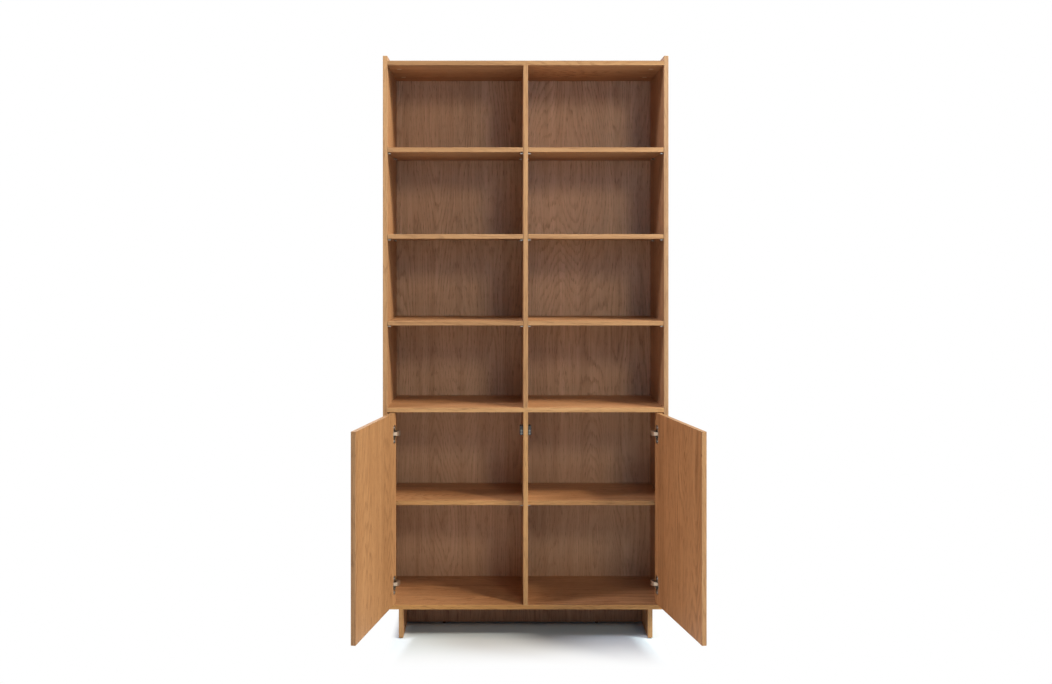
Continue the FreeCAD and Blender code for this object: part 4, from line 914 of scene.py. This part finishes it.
def seen_directly(tree):
    """Returns 1 for what the camera sees, also in metal or through glass, and 0 for scattered light."""
    path = add_node(tree, "ShaderNodeLightPath")
    seen = calc(tree, "MAXIMUM", path.outputs["Is Camera Ray"], path.outputs["Is Glossy Ray"])
    return calc(tree, "MAXIMUM", seen, path.outputs["Is Transmission Ray"])


def add_light(context, settings):
    """Sets a white surround with soft lamps above, at both sides, in front and behind."""
    world = bpy.data.worlds.new("studio")
    world.use_nodes = True
    context.scene.world = world
    tree = world.node_tree
    surround = tree.nodes["Background"]
    seen = seen_directly(tree)
    colour = mix_colours(tree, seen, tuple(settings.ambient_colour), WHITE)
    feed(tree, surround.inputs["Color"], colour)
    feed(tree, surround.inputs["Strength"], ease(tree, seen, 0.0, 1.0, settings.ambient, 1.0))
    for name, place, colour in LAMPS:
        power = getattr(settings, name + "_power")
        add_lamp(name + "_lamp", place, settings.lamp_size, power, colour)


def add_lamp(name, place, size, power, colour):
    """Adds a square lamp that faces the middle of the bookcase."""
    data = bpy.data.lights.new(name, "AREA")
    data.shape = "SQUARE"
    data.size = size
    data.energy = power
    data.color = colour
    lamp = bpy.data.objects.new(name, data)
    lamp.location = place
    lamp.rotation_euler = (LAMP_AIM - lamp.location).to_track_quat("-Z", "Y").to_euler()
    lamp.visible_camera = False
    bpy.context.scene.collection.objects.link(lamp)


def add_camera(context, settings):
    """Sets the camera level with its axis straight back, with the lens shifted to frame the bookcase."""
    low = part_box("side_panel_left")[0]
    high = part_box("side_panel_right")[1]
    middle_x = (low.x + high.x) / 2
    data = bpy.data.cameras.new("camera")
    data.sensor_width = SENSOR_WIDTH
    data.lens = settings.focal_pixels * SENSOR_WIDTH / IMAGE_WIDTH
    data.shift_x = (IMAGE_WIDTH / 2 - settings.axis_x) / IMAGE_WIDTH
    data.shift_y = (settings.axis_y - IMAGE_HEIGHT / 2) / IMAGE_WIDTH
    camera = bpy.data.objects.new("camera", data)
    camera.location = (
        middle_x - settings.eye_offset, low.y - settings.eye_distance, settings.eye_height)
    camera.rotation_euler = (math.pi / 2, 0.0, 0.0)
    context.scene.collection.objects.link(camera)
    context.scene.camera = camera


class BOOKCASE_PT_panel(bpy.types.Panel):
    """Lists the steps and settings of the bookcase"""

    bl_idname = "BOOKCASE_PT_panel"
    bl_label = "Bookcase"
    bl_space_type = "VIEW_3D"
    bl_region_type = "UI"
    bl_category = "Bookcase"

    def draw(self, context):
        layout = self.layout
        for settings in (context.scene.bookcase_finish, context.scene.bookcase_stage):
            for name in settings.__annotations__:
                layout.prop(settings, name)
        for step in STEPS:
            layout.operator(step.bl_idname)


STEPS = (
    BOOKCASE_OT_carcass,
    BOOKCASE_OT_backs,
    BOOKCASE_OT_shelves,
    BOOKCASE_OT_doors,
    BOOKCASE_OT_hinges,
    BOOKCASE_OT_catches,
    BOOKCASE_OT_fittings,
    BOOKCASE_OT_stage,
)
CLASSES = (BookcaseFinish, BookcaseStage) + STEPS + (BOOKCASE_PT_panel,)


def register():
    """Registers the settings, the steps and the panel."""
    for item in CLASSES:
        bpy.utils.register_class(item)
    bpy.types.Scene.bookcase_finish = bpy.props.PointerProperty(type=BookcaseFinish)
    bpy.types.Scene.bookcase_stage = bpy.props.PointerProperty(type=BookcaseStage)


def unregister():
    """Removes what register added."""
    del bpy.types.Scene.bookcase_stage
    del bpy.types.Scene.bookcase_finish
    for item in reversed(CLASSES):
        bpy.utils.unregister_class(item)


def main():
    """Runs every step in order."""
    register()
    bpy.ops.bookcase.carcass()
    bpy.ops.bookcase.backs()
    bpy.ops.bookcase.shelves()
    bpy.ops.bookcase.doors()
    bpy.ops.bookcase.hinges()
    bpy.ops.bookcase.catches()
    bpy.ops.bookcase.fittings()
    bpy.ops.bookcase.stage()


if __name__ == "__main__":
    main()
